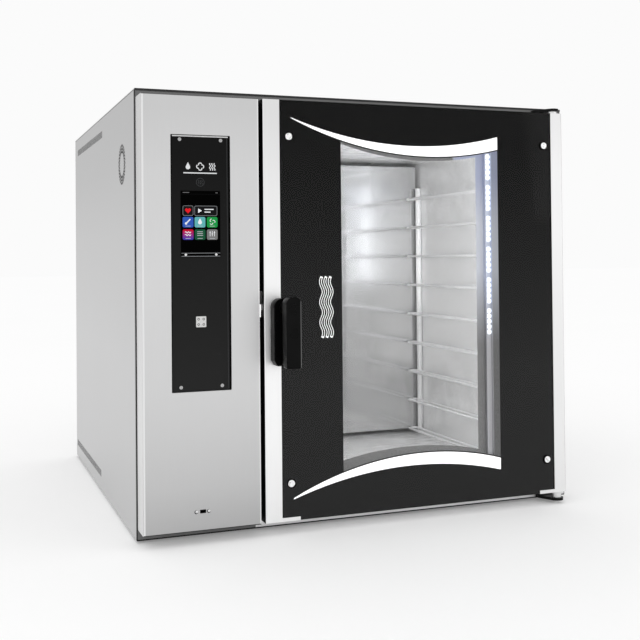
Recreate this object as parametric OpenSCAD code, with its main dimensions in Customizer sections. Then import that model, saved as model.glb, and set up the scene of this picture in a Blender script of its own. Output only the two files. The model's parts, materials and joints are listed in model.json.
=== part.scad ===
// Combi steamer oven, nine tray levels, right-hung glass door, controls on the left.
// Drawn with x from the left side, y back from the body's front, z up from the base.

/* [Body] */
// Width over the side panels
body_w = 972; // [960:1:1040]
// Depth from the front frame to the rear panel
body_d = 921; // [905:1:980]
// Height from the base underside to the top cover
body_h = 877; // [870:1:920]
// Height of the rubber pads under the base
foot_h = 5; // [3:0.5:12]
// Thickness of the outer sheet metal
panel_t = 1.5; // [1:0.1:2]
// Height of the base frame
base_h = 20; // [18:0.5:21]
// Clearance between seated pieces
seat_gap = 0.3; // [0.1:0.05:0.5]

/* [Front] */
// How far the fascia and door stand in front of the body
front_out = 58; // [57:0.5:62]
// Width of the control fascia
fascia_w = 231.5; // [228:0.5:235]
// Gap between the fascia and the door
door_gap = 9; // [8:0.5:11]
// Height of the fascia and door above the base underside
front_low = 23; // [22:0.5:25]
// Distance from the door's top edge to the top cover
front_drop = 18; // [16:0.5:20]

/* [Control plate] */
// Width of the black control plate
plate_w = 117; // [112:1:122]
// Height of the black control plate
plate_h = 493; // [480:1:505]
// Distance from the fascia's left edge to the plate
plate_left = 56.4; // [52:0.2:60]
// Distance from the fascia's top edge to the plate
plate_drop = 76.5; // [70:0.5:82]
// Width of the touch screen
screen_w = 77.7; // [74:0.1:80]
// Height of the touch screen
screen_h = 127; // [122:0.5:132]
// Distance from the plate's top edge to the screen
screen_drop = 107.5; // [100:0.5:115]

/* [Door] */
// Distance from the door's right edge to the body's right side
door_side = 34; // [30:0.5:40]
// Width of the steel strip at the handle side
stile_l = 35; // [33:0.5:36]
// Width of the steel strip at the hinge side
stile_r = 30; // [29:0.5:33]
// Distance of the hinge axis from the door's right edge
hinge_inset = 12; // [11:0.5:13]
// Distance of the hinge axis in front of the body
hinge_out = 38; // [36:0.5:40]
// Radius of the hinge pins
hinge_pin_r = 6; // [5:0.5:7]
// Thickness of the outer glass
outer_glass_t = 6; // [5:0.5:6]
// Thickness of the inner glass
inner_glass_t = 4; // [3:0.5:5]
// Width of the viewing window
window_w = 366; // [350:1:380]
// Diameter of the glass bolt caps
bolt_cap_d = 16; // [14:0.5:18]

/* [Handle] */
// Height of the handle's hub above the door's lower edge
hub_up = 424; // [412:1:436]
// Height of the handle base
handle_base_h = 132; // [126:1:138]
// Width of the handle base
handle_base_w = 36; // [34:0.5:38]
// Depth of the handle base
handle_base_d = 25; // [23:0.5:27]
// Length of the grip below the hub axis
grip_len = 115; // [109:1:120]
// Height of the grip's top above the hub axis
grip_top = 22; // [19:0.5:24]
// Width of the grip
grip_w = 31; // [29:0.5:33]
// Depth of the grip
grip_d = 25; // [23:0.5:26]
// Distance of the grip's front from the door's front
grip_out = 70; // [68:0.5:74]

/* [Cavity] */
// How far the door laps over the cavity's left edge
lap_l = 32; // [31:0.5:34]
// How far the door laps over the cavity's right edge
lap_r = 28; // [27:0.5:29]
// Height of the cavity floor above the base underside
cavity_floor = 50; // [50:0.5:52]
// Distance from the cavity ceiling to the top cover
cavity_roof = 69; // [68:0.5:72]
// Distance from the cavity's rear wall to the body's rear
rear_room = 201; // [197:1:207]
// Distance from the fan baffle to the cavity's rear wall
baffle_gap = 114; // [111:1:120]
// Radius of the cavity's rear corners
corner_r = 28; // [24:1:30]
// Thickness of the insulation behind the cavity
rear_wool = 50; // [48:1:54]

/* [Tray racks] */
// Height step between the tray levels
tray_pitch = 80; // [76:1:84]
// Height of the lowest tray rail above the cavity floor
first_rail = 15; // [12:1:20]
// Radius of the rack posts
post_r = 7.5; // [7:0.1:7.8]
// Radius of the rail wires
wire_r = 3; // [2.5:0.1:3.2]
// Width of each rail between its two wires
rail_w = 24; // [20:1:28]

/* [Fans] */
// Height of each fan from the nearer end of the cavity, as a share of its height
fan_share = 0.25; // [0.245:0.001:0.255]
// Radius of the fan wheels
fan_r = 130; // [120:1:132]
// Number of blades on each fan wheel
fan_blades = 20; // [12:1:26]
// Radius of the fan shafts
shaft_r = 8; // [7:0.5:9]
// Radius of the heater rings
heater_r = 156; // [150:1:160]
// Width of the control cooling fan
cooler_w = 92; // [88:1:94]

/* [Services] */
// Outer radius of the drain pipe
drain_r = 16; // [14:0.5:16.5]
// How far the drain pipe stands behind the body
drain_out = 30; // [25:1:40]
// Outer radius of the steam vent pipe
vent_r = 31.5; // [30:0.5:34]
// Height of the steam vent pipe above the top cover
vent_out = 40; // [30:1:60]
// Radius of the water inlet thread
inlet_r = 13.2; // [12:0.1:14]
// Step between each outlet's free end and the pipe behind it
end_step = 0.8; // [0.6:0.1:1.2]

/* [Hidden] */
$fn = 48;

// Places along x, from the left side
fascia_x0 = panel_t;
fascia_x1 = fascia_x0 + fascia_w;
door_x0 = fascia_x1 + door_gap;
door_x1 = body_w - door_side;
glass_x0 = door_x0 + stile_l + seat_gap;
glass_x1 = door_x1 - stile_r - seat_gap;
hinge_x = door_x1 - hinge_inset;
cav_x0 = door_x0 + lap_l;
cav_x1 = door_x1 - lap_r;
cav_mid = (cav_x0 + cav_x1) / 2;
partition_x = door_x0 - panel_t;
inner_x1 = body_w - panel_t;

// Places along y, back from the body's front
front_y = -front_out;
glass_y0 = front_y + 1;
glass_y1 = glass_y0 + outer_glass_t;
print_t = 0.4;
print_y1 = glass_y1 + print_t;
door_back_y = -8.3;
door_back_in = door_back_y - panel_t;
seal_y = door_back_y + seat_gap;
cavity_d = body_d - rear_room;
baffle_y = cavity_d - baffle_gap;
bulkhead_y = cavity_d + rear_wool;
motor_y = bulkhead_y + panel_t;
rear_y = body_d - panel_t;

// Places along z, up from the base underside
door_z0 = front_low;
door_z1 = body_h - front_drop;
cav_z0 = cavity_floor;
cav_z1 = body_h - cavity_roof;
tray_top = base_h + panel_t;
cover_z = body_h - panel_t;
wool_top = cav_z1 + 44;
fan_rise = fan_share * (cav_z1 - cav_z0);
fan_z = [cav_z0 + fan_rise, cav_z1 - fan_rise];

// Control plate and screen
plate_x0 = fascia_x0 + plate_left;
plate_x1 = plate_x0 + plate_w;
plate_z1 = door_z1 - plate_drop;
plate_z0 = plate_z1 - plate_h;
plate_y = front_y + 3.5;
plate_t = 3;
pocket_y = plate_y + plate_t;
screen_x0 = plate_x0 + (plate_w - screen_w) / 2;
screen_z1 = plate_z1 - screen_drop;
screen_z0 = screen_z1 - screen_h;
plate_screw_x = 18;
plate_screw_z = 9;
screw_r = 2;

// Door frame channel and the aperture inside it
ring_x0 = door_x0 + 49;
ring_x1 = door_x1 - 26;
ring_z0 = door_z0 + 2;
ring_z1 = door_z1 - 2;
hole_x0 = ring_x0 + 12;
hole_x1 = door_x1 - 54;
hole_z0 = cav_z0 + 16;
hole_z1 = cav_z1 - 16;

// Window and its curved stripes: centre x, edge height, radius
win_x0 = door_x0 + (door_x1 - door_x0 - window_w) / 2 + 3;
win_x1 = win_x0 + window_w;
arch_tip = win_x0 - 107;
arch_line = 2.5;
top_inner = [win_x0 + 200, door_z1 - 104, 717];
top_outer = [win_x0 + 167, door_z1 - 83, 784];
low_inner = [win_x0 + 185, door_z0 + 111, 664];
low_outer = [win_x0 + 162, door_z0 + 87, 806];
inner_top = [win_x0 + 210, door_z1 - 110, 656];
inner_low = [win_x0 + 170, door_z0 + 120.5, 710];
inner_x = win_x1 - 37;

// Handle, latch and hinge
hub_x = door_x0 + 38;
hub_z = door_z0 + hub_up;
spindle_r = 6;
latch_reach = hub_x - door_x0 + 4.5;
turn_fit = 0.05;
bolt_x = [glass_x0 + 18.5, glass_x1 - 18.5];
bolt_z = [door_z0 + 74.5, door_z1 - 73];
bolt_r = 4;

// Racks
rail_count = floor((cav_z1 - cav_z0 - first_rail - 60) / tray_pitch) + 1;
post_in = post_r + seat_gap;
rack_y = [42, baffle_y - 16];
wire_in = 2 * post_r + seat_gap + wire_r - 1.5;

// Cooling fan in the left compartment
cooler_y = 148;
cooler_z = body_h - 136;
cooler_d = 25;

// Services
drain_y = 300;
drain_z = 27;
sump_r = 26;
vent_x = cav_mid + 168;
vent_y = (baffle_y + cavity_d) / 2;
vent_wall = 1.5;
flap_z = wool_top + 12;
pipe_r = 4;
injector_x = cav_mid - 172;
valve_x = 330;
valve_z = 130;
gland_x = 150;
gland_z = 110;

// Glass, inner pane and light strip of the door
tab_h = 7.5;
tab_l = 38;
glass_z0 = door_z0 + 0.5;
notch_z1 = door_z0 + tab_h + seat_gap;
inner_y0 = -20;
inner_y1 = inner_y0 + inner_glass_t;
led_x = win_x1 - 16;
led_y = -38;
low_bracket_gap = front_low - 2;
top_bracket_gap = 12;
bush_r = shaft_r + 4;
wheel_y1 = cavity_d - 20;
wheel_y0 = baffle_y + 28;
flap_shaft_r = 3;
free_from = 2;
gland_r = 10;
stand_hole_r = 5.25;
port_x = plate_x0 + plate_w / 2;
port_z = door_z0 + 37;

// Overall placing: x centred, y centred on the whole depth, z on the floor
frame_y = (front_out + grip_out - body_d - drain_out) / 2;

// Puts what is drawn in the oven's own places into the part's frame
module oven() {
    translate([-body_w / 2, frame_y, foot_h]) children();
}

// Box between two corners
module slab(a, b) {
    translate(a) cube(b - a);
}

// Solid rods along each axis, from a start point
module rod_x(p, r, l) {
    translate(p) rotate([0, 90, 0]) cylinder(r = r, h = l);
}

module rod_y(p, r, l) {
    translate(p) rotate([-90, 0, 0]) cylinder(r = r, h = l);
}

module rod_z(p, r, l) {
    translate(p) cylinder(r = r, h = l);
}

// Extrudes a profile drawn in x and z between two depths
module plate_xz(y0, y1) {
    translate([0, y1, 0]) rotate([90, 0, 0]) linear_extrude(y1 - y0) children();
}

// Extrudes a profile drawn in y and z between two x places
module plate_yz(x0, x1) {
    translate([x0, 0, 0]) rotate([90, 0, 90]) linear_extrude(x1 - x0) children();
}

// Extrudes a profile drawn in x and y between two heights
module plate_xy(z0, z1) {
    translate([0, 0, z0]) linear_extrude(z1 - z0) children();
}

// Flat rectangle between two points
module rect(x0, y0, x1, y1) {
    translate([x0, y0]) square([x1 - x0, y1 - y0]);
}

// Rectangle with its own radius at each corner: low left, low right, top right, top left
module rounded(x0, y0, x1, y1, r) {
    corners = [[x0, y0, 1, 1], [x1, y0, -1, 1], [x1, y1, -1, -1], [x0, y1, 1, -1]];
    difference() {
        rect(x0, y0, x1, y1);
        for (i = [0:3])
            if (r[i] > 0)
                difference() {
                    translate([corners[i][0], corners[i][1]]) square(2 * r[i], center = true);
                    translate([corners[i][0] + corners[i][2] * r[i], corners[i][1] + corners[i][3] * r[i]])
                        circle(r[i]);
                }
    }
}

// Disc whose lowest point is at an edge height, for a curve that sags
module sag_disc(a, grow = 0) {
    translate([a[0], a[1] + a[2]]) circle(a[2] + grow, $fn = 200);
}

// Disc whose highest point is at an edge height, for a curve that rises
module rise_disc(a, grow = 0) {
    translate([a[0], a[1] - a[2]]) circle(a[2] + grow, $fn = 200);
}

// ---- Outer casing ----

module base_frame() {
    flange = 70;
    bolt_in = 46;
    color("gainsboro") oven() difference() {
        slab([panel_t, panel_t, 0], [inner_x1, rear_y, base_h]);
        slab([2 * panel_t, 2 * panel_t, panel_t], [inner_x1 - panel_t, rear_y - panel_t, base_h + 1]);
        slab([flange, flange, -1], [body_w - flange, body_d - flange, base_h]);
        for (x = [bolt_in, body_w - bolt_in])
            for (y = [bolt_in, body_d - bolt_in])
                rod_z([x, y, -1], stand_hole_r, base_h);
        drain_way();
    }
}

module rubber_feet() {
    foot_in = 46;
    color("dimgray") oven()
        for (x = [foot_in, body_w - foot_in])
            for (y = [foot_in, body_d - foot_in])
                difference() {
                    rod_z([x, y, -foot_h], 24, foot_h);
                    rod_z([x, y, -foot_h - 1], 9, foot_h + 2);
                }
}

module base_tray() {
    color("silver") oven() difference() {
        slab([panel_t, panel_t, base_h], [inner_x1, rear_y, tray_top]);
        drain_way();
    }
}

// Room that the drain pipe needs through the base
module drain_way() {
    slab([cav_mid - drain_r - 2, drain_y - sump_r - 2, -1],
        [cav_mid + drain_r + 2, body_d + 1, drain_z + drain_r + 2]);
    rod_z([cav_mid, drain_y, -1], sump_r + 2, cav_z0 - panel_t - 1);
}

// Row of upright slots, from a place along y
module slot_row(y0, count, z0) {
    slot_w = 5;
    slot_h = 16;
    slot_step = 10;
    for (i = [0:count - 1])
        rect(y0 + i * slot_step, z0, y0 + i * slot_step + slot_w, z0 + slot_h);
}

// Three rings of round holes over the cooling fan
module ring_vent() {
    translate([cooler_y, cooler_z])
        for (k = [0:2])
            for (i = [0:29])
                rotate(i * 12 + k * 6) translate([26.5 + 6.5 * k, 0]) circle(2.3, $fn = 16);
}

module side_sheet() {
    difference() {
        rect(0, 0, body_d, cover_z);
        slot_row(body_d - 500, 45, cover_z - 47);
        slot_row(body_d - 456, 44, 30);
    }
}

module left_side_panel() {
    color("lightgray") oven() plate_yz(0, panel_t) difference() {
        side_sheet();
        ring_vent();
    }
}

module right_side_panel() {
    color("lightgray") oven() plate_yz(inner_x1, body_w) side_sheet();
}

module top_cover() {
    flange = 18;
    color("lightgray") oven() difference() {
        union() {
            slab([0, 0, cover_z], [body_w, body_d, body_h]);
            slab([panel_t, 2 * panel_t, cover_z - flange], [2 * panel_t, rear_y, cover_z]);
            slab([inner_x1 - panel_t, 2 * panel_t, cover_z - flange], [inner_x1, rear_y, cover_z]);
        }
        rod_z([vent_x, vent_y, cover_z - 1], vent_r + end_step + seat_gap, 10);
    }
}

module top_trim() {
    trim_h = 4;
    color("black") oven() slab([0, -1.5, body_h - trim_h], [body_w, 0, body_h]);
}

module rear_panel() {
    color("lightgray") oven() plate_xz(rear_y, body_d) difference() {
        rect(panel_t, 0, inner_x1, cover_z);
        for (z = fan_z)
            for (i = [-9:9])
                rect(cav_mid + i * 12 - 3, z - 30, cav_mid + i * 12 + 3, z + 30);
        translate([cav_mid, drain_z]) circle(drain_r + end_step + seat_gap);
        translate([valve_x, valve_z]) circle(inlet_r + end_step + seat_gap);
        translate([gland_x, gland_z]) circle(gland_r + seat_gap);
    }
}

module front_frame() {
    wiring = 40;
    color("silver") oven() plate_xz(0, panel_t) difference() {
        rect(panel_t, 0, inner_x1, cover_z);
        rect(cav_x0, cav_z0, cav_x1, cav_z1);
        rect(fascia_x0 + wiring, door_z0 + wiring, fascia_x1 - wiring, door_z1 - wiring);
    }
}

module partition_panel() {
    color("silver") oven() plate_yz(partition_x, partition_x + panel_t) difference() {
        rect(panel_t, tray_top, rear_y, cover_z);
        for (z = fan_z)
            translate([(motor_y + rear_y) / 2, z]) circle(20);
    }
}

module motor_bulkhead() {
    color("silver") oven() plate_xz(bulkhead_y, motor_y) difference() {
        rect(door_x0, tray_top, inner_x1 - panel_t, cover_z);
        for (z = fan_z)
            translate([cav_mid, z]) circle(shaft_r + 6);
        for (z = fan_z)
            translate([injector_x, z]) circle(pipe_r + seat_gap);
        rect(cav_mid - drain_r - 2, 0, cav_mid + drain_r + 2, drain_z + drain_r + 2);
    }
}

// ---- Cooking cavity ----

module cavity_plan(grow) {
    r = corner_r + grow;
    rounded(cav_x0 - grow, panel_t, cav_x1 + grow, cavity_d + grow, [0, 0, r, r]);
}

module cavity_shell() {
    color("whitesmoke") oven() difference() {
        plate_xy(cav_z0 - panel_t, cav_z1 + panel_t) cavity_plan(panel_t);
        plate_xy(cav_z0, cav_z1) cavity_plan(0);
        slab([cav_x0, -1, cav_z0], [cav_x1, 10, cav_z1]);
        for (z = fan_z) {
            rod_y([cav_mid, cavity_d - 1, z], bush_r + seat_gap, 10);
            rod_y([injector_x, cavity_d - 1, z], pipe_r + seat_gap, 10);
        }
        rod_z([cav_mid, drain_y, cav_z0 - 5], sump_r - 2, 10);
        rod_z([vent_x, vent_y, cav_z1 - 1], vent_r - vent_wall, 10);
    }
}

module insulation() {
    color("khaki") oven() difference() {
        slab([door_x0, panel_t, tray_top], [inner_x1, bulkhead_y, wool_top]);
        plate_xy(cav_z0 - panel_t - seat_gap, cav_z1 + panel_t + seat_gap)
            cavity_plan(panel_t + seat_gap);
        slab([cav_x0, 0, cav_z0 - panel_t - seat_gap], [cav_x1, 10, cav_z1 + panel_t + seat_gap]);
        for (z = fan_z) {
            rod_y([cav_mid, cavity_d, z], bush_r + 4, rear_wool + 1);
            rod_y([injector_x, cavity_d, z], pipe_r + 3, rear_wool + 1);
        }
        rod_z([vent_x, vent_y, cav_z1], 2 * vent_wall + vent_r + 12, 60);
        drain_way();
        rod_z([cav_mid, drain_y, 0], sump_r + 2, cav_z0);
    }
}

// Air slots round a fan's inlet, cut by spokes
module inlet_rose(z) {
    slot_w = 9;
    slot_step = 17;
    spoke_w = 9;
    translate([cav_mid, z]) difference() {
        for (r = [24:slot_step:fan_r * 0.6])
            difference() {
                circle(r + slot_w);
                circle(r);
            }
        for (a = [0:45:135])
            rotate(a) square([2 * fan_r, spoke_w], center = true);
    }
}

module fan_baffle() {
    side_gap = 8;
    end_gap = 12;
    lip = 26;
    x0 = cav_x0 + side_gap;
    x1 = cav_x1 - side_gap;
    z0 = cav_z0 + end_gap;
    z1 = cav_z1 - end_gap;
    y1 = baffle_y + panel_t;
    color("whitesmoke") oven() {
        difference() {
            union() {
                plate_xz(baffle_y, y1) rect(x0, z0, x1, z1);
                slab([x0, baffle_y, z0], [x0 + panel_t, baffle_y + lip, z1]);
                slab([x1 - panel_t, baffle_y, z0], [x1, baffle_y + lip, z1]);
                slab([x0, baffle_y, z0], [x1, baffle_y + lip, z0 + panel_t]);
                slab([x0, baffle_y, z1 - panel_t], [x1, baffle_y + lip, z1]);
                for (x = [x0 + 26, x1 - 26])
                    for (z = [z0 + 34, z1 - 34])
                        rod_y([x, baffle_y + panel_t / 2, z], 6, cavity_d - baffle_y - panel_t / 2);
            }
            for (z = fan_z)
                plate_xz(baffle_y - 1, y1 + 1) inlet_rose(z);
        }
    }
}

// One rail: a wire loop with round ends, level with a tray
module rail_loop(x_wall, x_tray, z) {
    y0 = rack_y[0] - 12;
    y1 = rack_y[1] - 2;
    r = abs(x_tray - x_wall) / 2;
    for (x = [x_wall, x_tray])
        rod_y([x, y0, z], wire_r, y1 - y0);
    for (y = [y0, y1])
        translate([(x_wall + x_tray) / 2, y, z]) rotate(y == y0 ? 180 : 0)
            rotate_extrude(angle = 180) translate([r, 0]) circle(wire_r, $fn = 24);
}

// Rack on one side wall: side is 1 at the left wall and -1 at the right
module tray_rack(wall_x, side) {
    x_post = wall_x + side * post_in;
    x_wall = wall_x + side * wire_in;
    top = cav_z0 + first_rail + (rail_count - 1) * tray_pitch + 30;
    for (y = rack_y)
        rod_z([x_post, y, cav_z0 + seat_gap], post_r, top - cav_z0);
    for (k = [0:rail_count - 1])
        rail_loop(x_wall, x_wall + side * rail_w, cav_z0 + first_rail + k * tray_pitch);
}

module left_rack() {
    color("silver") oven() tray_rack(cav_x0, 1);
}

module right_rack() {
    color("silver") oven() tray_rack(cav_x1, -1);
}

module mouth_ring(inner, outer, r) {
    difference() {
        rounded(cav_x0 - outer, cav_z0 - outer, cav_x1 + outer, cav_z1 + outer, [r, r, r, r]);
        rounded(cav_x0 - inner, cav_z0 - inner, cav_x1 + inner, cav_z1 + inner,
            [r - 6, r - 6, r - 6, r - 6]);
    }
}

module door_gasket() {
    color("black") oven() plate_xz(seal_y, 0) mouth_ring(3, 13, 14);
}

module outer_seal() {
    color("black") oven()
        slab([fascia_x1 + seat_gap, seal_y, door_z0], [door_x0 + 14, 0, door_z1]);
}

// ---- Fans, heaters and steam ----

// Heater: three rings round a fan wheel, with two legs to a flange on the rear wall
module ring_heater(z) {
    tube_r = 4;
    leg_r = 5;
    ring_step = 16;
    y0 = baffle_y + 36;
    for (k = [0:2])
        translate([cav_mid, y0 + k * ring_step, z]) rotate([90, 0, 0])
            rotate_extrude() translate([heater_r, 0]) circle(tube_r, $fn = 24);
    for (a = [-7, 7])
        rod_y([cav_mid + heater_r * sin(a), y0 - 2, z - heater_r * cos(a)], leg_r, cavity_d - y0 + 1);
    slab([cav_mid - 34, cavity_d - 3, z - heater_r - 10], [cav_mid + 34, cavity_d, z - heater_r + 14]);
}

module lower_heater() {
    color("gray") oven() ring_heater(fan_z[0]);
}

module upper_heater() {
    color("gray") oven() ring_heater(fan_z[1]);
}

// Radial fan wheel with its shaft
module fan_wheel(z) {
    disc_t = 2;
    blade_l = fan_r * 0.34;
    blade_mid = fan_r * 0.81;
    translate([cav_mid, 0, z]) {
        difference() {
            rod_y([0, wheel_y1 - disc_t, 0], fan_r, disc_t);
            for (a = [30:60:330])
                rotate([0, a, 0]) rod_y([fan_r * 0.5, wheel_y1 - disc_t - 1, 0], 9, disc_t + 2);
        }
        difference() {
            rod_y([0, wheel_y0, 0], fan_r, disc_t);
            rod_y([0, wheel_y0 - 1, 0], fan_r * 0.7, disc_t + 2);
        }
        for (i = [0:fan_blades - 1])
            rotate([0, i * 360 / fan_blades, 0]) translate([blade_mid, wheel_y0 + disc_t / 2, 0])
                rotate([0, 35, 0]) translate([-blade_l / 2, 0, -disc_t / 2])
                    cube([blade_l, wheel_y1 - wheel_y0 - disc_t, disc_t]);
        rod_y([0, wheel_y1 - 24, 0], 18, 28);
        rod_y([0, wheel_y1 - 34, 0], shaft_r, motor_y + 30 - wheel_y1 + 34);
        translate([0, wheel_y1 - 32, 0]) rotate([-90, 0, 0]) cylinder(r = 13, h = 9, $fn = 6);
    }
}

module lower_fan() {
    color("silver") oven() fan_wheel(fan_z[0]);
}

module upper_fan() {
    color("silver") oven() fan_wheel(fan_z[1]);
}

module fan_motor(z) {
    body_r = 58;
    flange_w = 150;
    flange_t = 4;
    body_l = 100;
    translate([cav_mid, motor_y, z]) difference() {
        union() {
            slab([-flange_w / 2, 0, -flange_w / 2], [flange_w / 2, flange_t, flange_w / 2]);
            rod_y([0, 0, 0], body_r, flange_t + body_l);
            rod_y([0, 0, 0], body_r - 9, flange_t + body_l + 14);
            slab([-32, 30, body_r - 12], [32, 84, body_r + 26]);
        }
        for (k = [0:5])
            translate([0, 16 + k * 14, 0]) rotate([-90, 0, 0]) difference() {
                cylinder(r = body_r + 1, h = 6);
                translate([0, 0, -1]) cylinder(r = body_r - 4, h = 8);
                translate([-34, -body_r - 20, -1]) cube([68, body_r, 8]);
            }
        rod_y([0, -1, 0], shaft_r + turn_fit, 37);
    }
}

module lower_fan_motor() {
    color("dimgray") oven() fan_motor(fan_z[0]);
}

module upper_fan_motor() {
    color("dimgray") oven() fan_motor(fan_z[1]);
}

module shaft_bushes() {
    color("darkgoldenrod") oven()
        for (z = fan_z)
            difference() {
                union() {
                    rod_y([cav_mid, cavity_d - 2, z], bush_r + 8, 2);
                    rod_y([cav_mid, cavity_d - 2, z], bush_r, 12);
                }
                rod_y([cav_mid, cavity_d - 3, z], shaft_r + turn_fit, 16);
            }
}

// Straight pipes between points, with a fitting at each turn
module pipe_run(points, r) {
    for (i = [0:len(points) - 2]) {
        d = points[i + 1] - points[i];
        l = norm(d);
        translate(points[i]) rotate([0, acos(d[2] / l), atan2(d[1], d[0])]) cylinder(r = r, h = l);
    }
    for (i = [1:len(points) - 2])
        translate(points[i]) sphere(r * 1.3, $fn = 32);
}

module steam_injector() {
    riser_y = bulkhead_y + 36;
    spray_y = baffle_y + 13;
    start = [valve_x, rear_y - 64, valve_z];
    color("peru") oven() {
        pipe_run([start, [valve_x, riser_y, valve_z], [injector_x, riser_y, valve_z],
            [injector_x, riser_y, fan_z[1]], [injector_x, spray_y, fan_z[1]],
            [cav_mid - 16, spray_y, fan_z[1]]], pipe_r);
        pipe_run([[injector_x, riser_y, fan_z[0]], [injector_x, spray_y, fan_z[0]],
            [cav_mid - 16, spray_y, fan_z[0]]], pipe_r);
        for (z = fan_z)
            rod_x([cav_mid - 22, spray_y, z], 6, 12);
        translate([injector_x, riser_y, fan_z[0]]) sphere(pipe_r * 1.3, $fn = 32);
    }
}

// ---- Drain, vent and connections ----

module drain_strainer() {
    rim = sump_r + 4;
    color("silver") oven() difference() {
        rod_z([cav_mid, drain_y, cav_z0], rim, 2);
        for (k = [0:2])
            for (i = [0:5 + 6 * k])
                rotate_about([cav_mid, drain_y], i * 360 / (6 + 6 * k))
                    rod_z([cav_mid + 5 + 6.5 * k, drain_y, cav_z0 - 1], 2, 4);
    }
}

module rotate_about(p, a) {
    translate([p[0], p[1], 0]) rotate(a) translate([-p[0], -p[1], 0]) children();
}

module drain_pipe() {
    wall = 1.5;
    pipe_y = drain_y + sump_r / 2;
    length = body_d + drain_out - pipe_y;
    bottom = drain_z - drain_r - end_step;
    color("gray") oven() difference() {
        union() {
            rod_z([cav_mid, drain_y, bottom], sump_r, cav_z0 - panel_t - bottom);
            rod_y([cav_mid, pipe_y, drain_z], drain_r + end_step, length - drain_out + free_from);
            rod_y([cav_mid, pipe_y, drain_z], drain_r, length);
        }
        rod_z([cav_mid, drain_y, bottom + wall], sump_r - wall, cav_z0);
        rod_y([cav_mid, pipe_y, drain_z], drain_r - wall, length + 1);
    }
}

module vent_pipe() {
    base_z = cav_z1 + panel_t;
    color("silver") oven() difference() {
        union() {
            rod_z([vent_x, vent_y, base_z], vent_r + end_step, body_h + free_from - base_z);
            rod_z([vent_x, vent_y, base_z], vent_r, body_h + vent_out - base_z);
            rod_z([vent_x, vent_y, base_z], vent_r + 10, 2);
        }
        rod_z([vent_x, vent_y, base_z - 1], vent_r - vent_wall, body_h + vent_out);
        rod_x([vent_x - vent_r - 3, vent_y, flap_z], flap_shaft_r + turn_fit, 2 * vent_r + 6);
    }
}

module vent_damper() {
    color("silver") oven() {
        rod_z([vent_x, vent_y, flap_z - 1], vent_r - vent_wall - 1.5, 2);
        rod_x([vent_x - vent_r - 4, vent_y, flap_z], flap_shaft_r, 2 * vent_r + 24);
    }
}

module damper_actuator() {
    x0 = vent_x + vent_r + 6;
    color("dimgray") oven() difference() {
        union() {
            slab([x0, vent_y - 22, wool_top], [x0 + 48, vent_y + 22, wool_top + 20]);
            slab([x0 + 48, vent_y - 8, wool_top], [x0 + 58, vent_y + 8, wool_top + 10]);
        }
        rod_x([x0 - 1, vent_y, flap_z], flap_shaft_r + turn_fit, 18);
    }
}

module solenoid_valve() {
    y1 = rear_y - 6;
    color("goldenrod") oven() difference() {
        union() {
            slab([valve_x - 18, rear_y - 64, valve_z - 16], [valve_x + 18, y1, valve_z + 16]);
            translate([valve_x, y1, valve_z]) rotate([-90, 0, 0]) cylinder(r = 20, h = 6, $fn = 6);
            rod_y([valve_x, y1, valve_z], inlet_r + end_step, body_d + free_from - y1);
            rod_y([valve_x, y1, valve_z], inlet_r, body_d + free_from + 16 - y1);
            rod_z([valve_x, rear_y - 38, valve_z + 16], 17, 34);
        }
        rod_y([valve_x, rear_y - 20, valve_z], 8, 60);
    }
}

module cable_gland() {
    color("dimgray") oven() difference() {
        union() {
            rod_y([gland_x, rear_y - 12, gland_z], gland_r, 16);
            translate([gland_x, rear_y - 8, gland_z]) rotate([-90, 0, 0]) cylinder(r = 15, h = 8, $fn = 6);
            translate([gland_x, body_d, gland_z]) rotate([-90, 0, 0]) cylinder(r = 15, h = 6, $fn = 6);
            translate([gland_x, body_d + 6, gland_z]) rotate([-90, 0, 0]) cylinder(r1 = 13.5, r2 = 10, h = 14);
        }
        rod_y([gland_x, rear_y - 20, gland_z], 6, 60);
    }
}

// ---- Control side ----

module plate_outline(grow) {
    rounded(plate_x0 - grow, plate_z0 - grow, plate_x1 + grow, plate_z1 + grow, [2, 2, 2, 2]);
}

module control_fascia() {
    ledge = 22;
    wall = 1.2;
    color("lightgray") oven() difference() {
        union() {
            difference() {
                slab([fascia_x0, front_y, door_z0], [fascia_x1, 0, door_z1]);
                slab([fascia_x0 + panel_t, front_y + panel_t, door_z0 + panel_t],
                    [fascia_x1 - panel_t, 1, door_z1 - panel_t]);
            }
            plate_xz(front_y, pocket_y + panel_t) plate_outline(seat_gap + wall);
        }
        plate_xz(front_y - 1, pocket_y) plate_outline(seat_gap);
        plate_xz(front_y - 1, pocket_y + 10)
            rect(plate_x0 + ledge, plate_z0 + ledge, plate_x1 - ledge, plate_z1 - ledge);
        plate_screw_places() rod_y([0, front_y - 1, 0], screw_r + 0.2, 12);
        plate_xz(front_y - 1, front_y + panel_t + 1)
            rounded(port_x - 6, port_z - 3.5, port_x + 6, port_z + 3.5, [1, 1, 1, 1]);
    }
}

// Repeats its children at the plate's four screws
module plate_screw_places() {
    for (x = [plate_x0 + plate_screw_x, plate_x1 - plate_screw_x])
        for (z = [plate_z0 + plate_screw_z, plate_z1 - plate_screw_z])
            translate([x, 0, z]) children();
}

module control_plate() {
    frame_w = 5;
    color([0.08, 0.08, 0.09]) oven() difference() {
        plate_xz(plate_y, pocket_y) plate_outline(0);
        plate_xz(plate_y - 1, pocket_y + 1)
            rect(screen_x0 + frame_w, screen_z0 + frame_w, screen_x0 + screen_w - frame_w,
                screen_z1 - frame_w);
        plate_screw_places() rod_y([0, plate_y - 1, 0], screw_r + 0.2, 12);
    }
}

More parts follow.
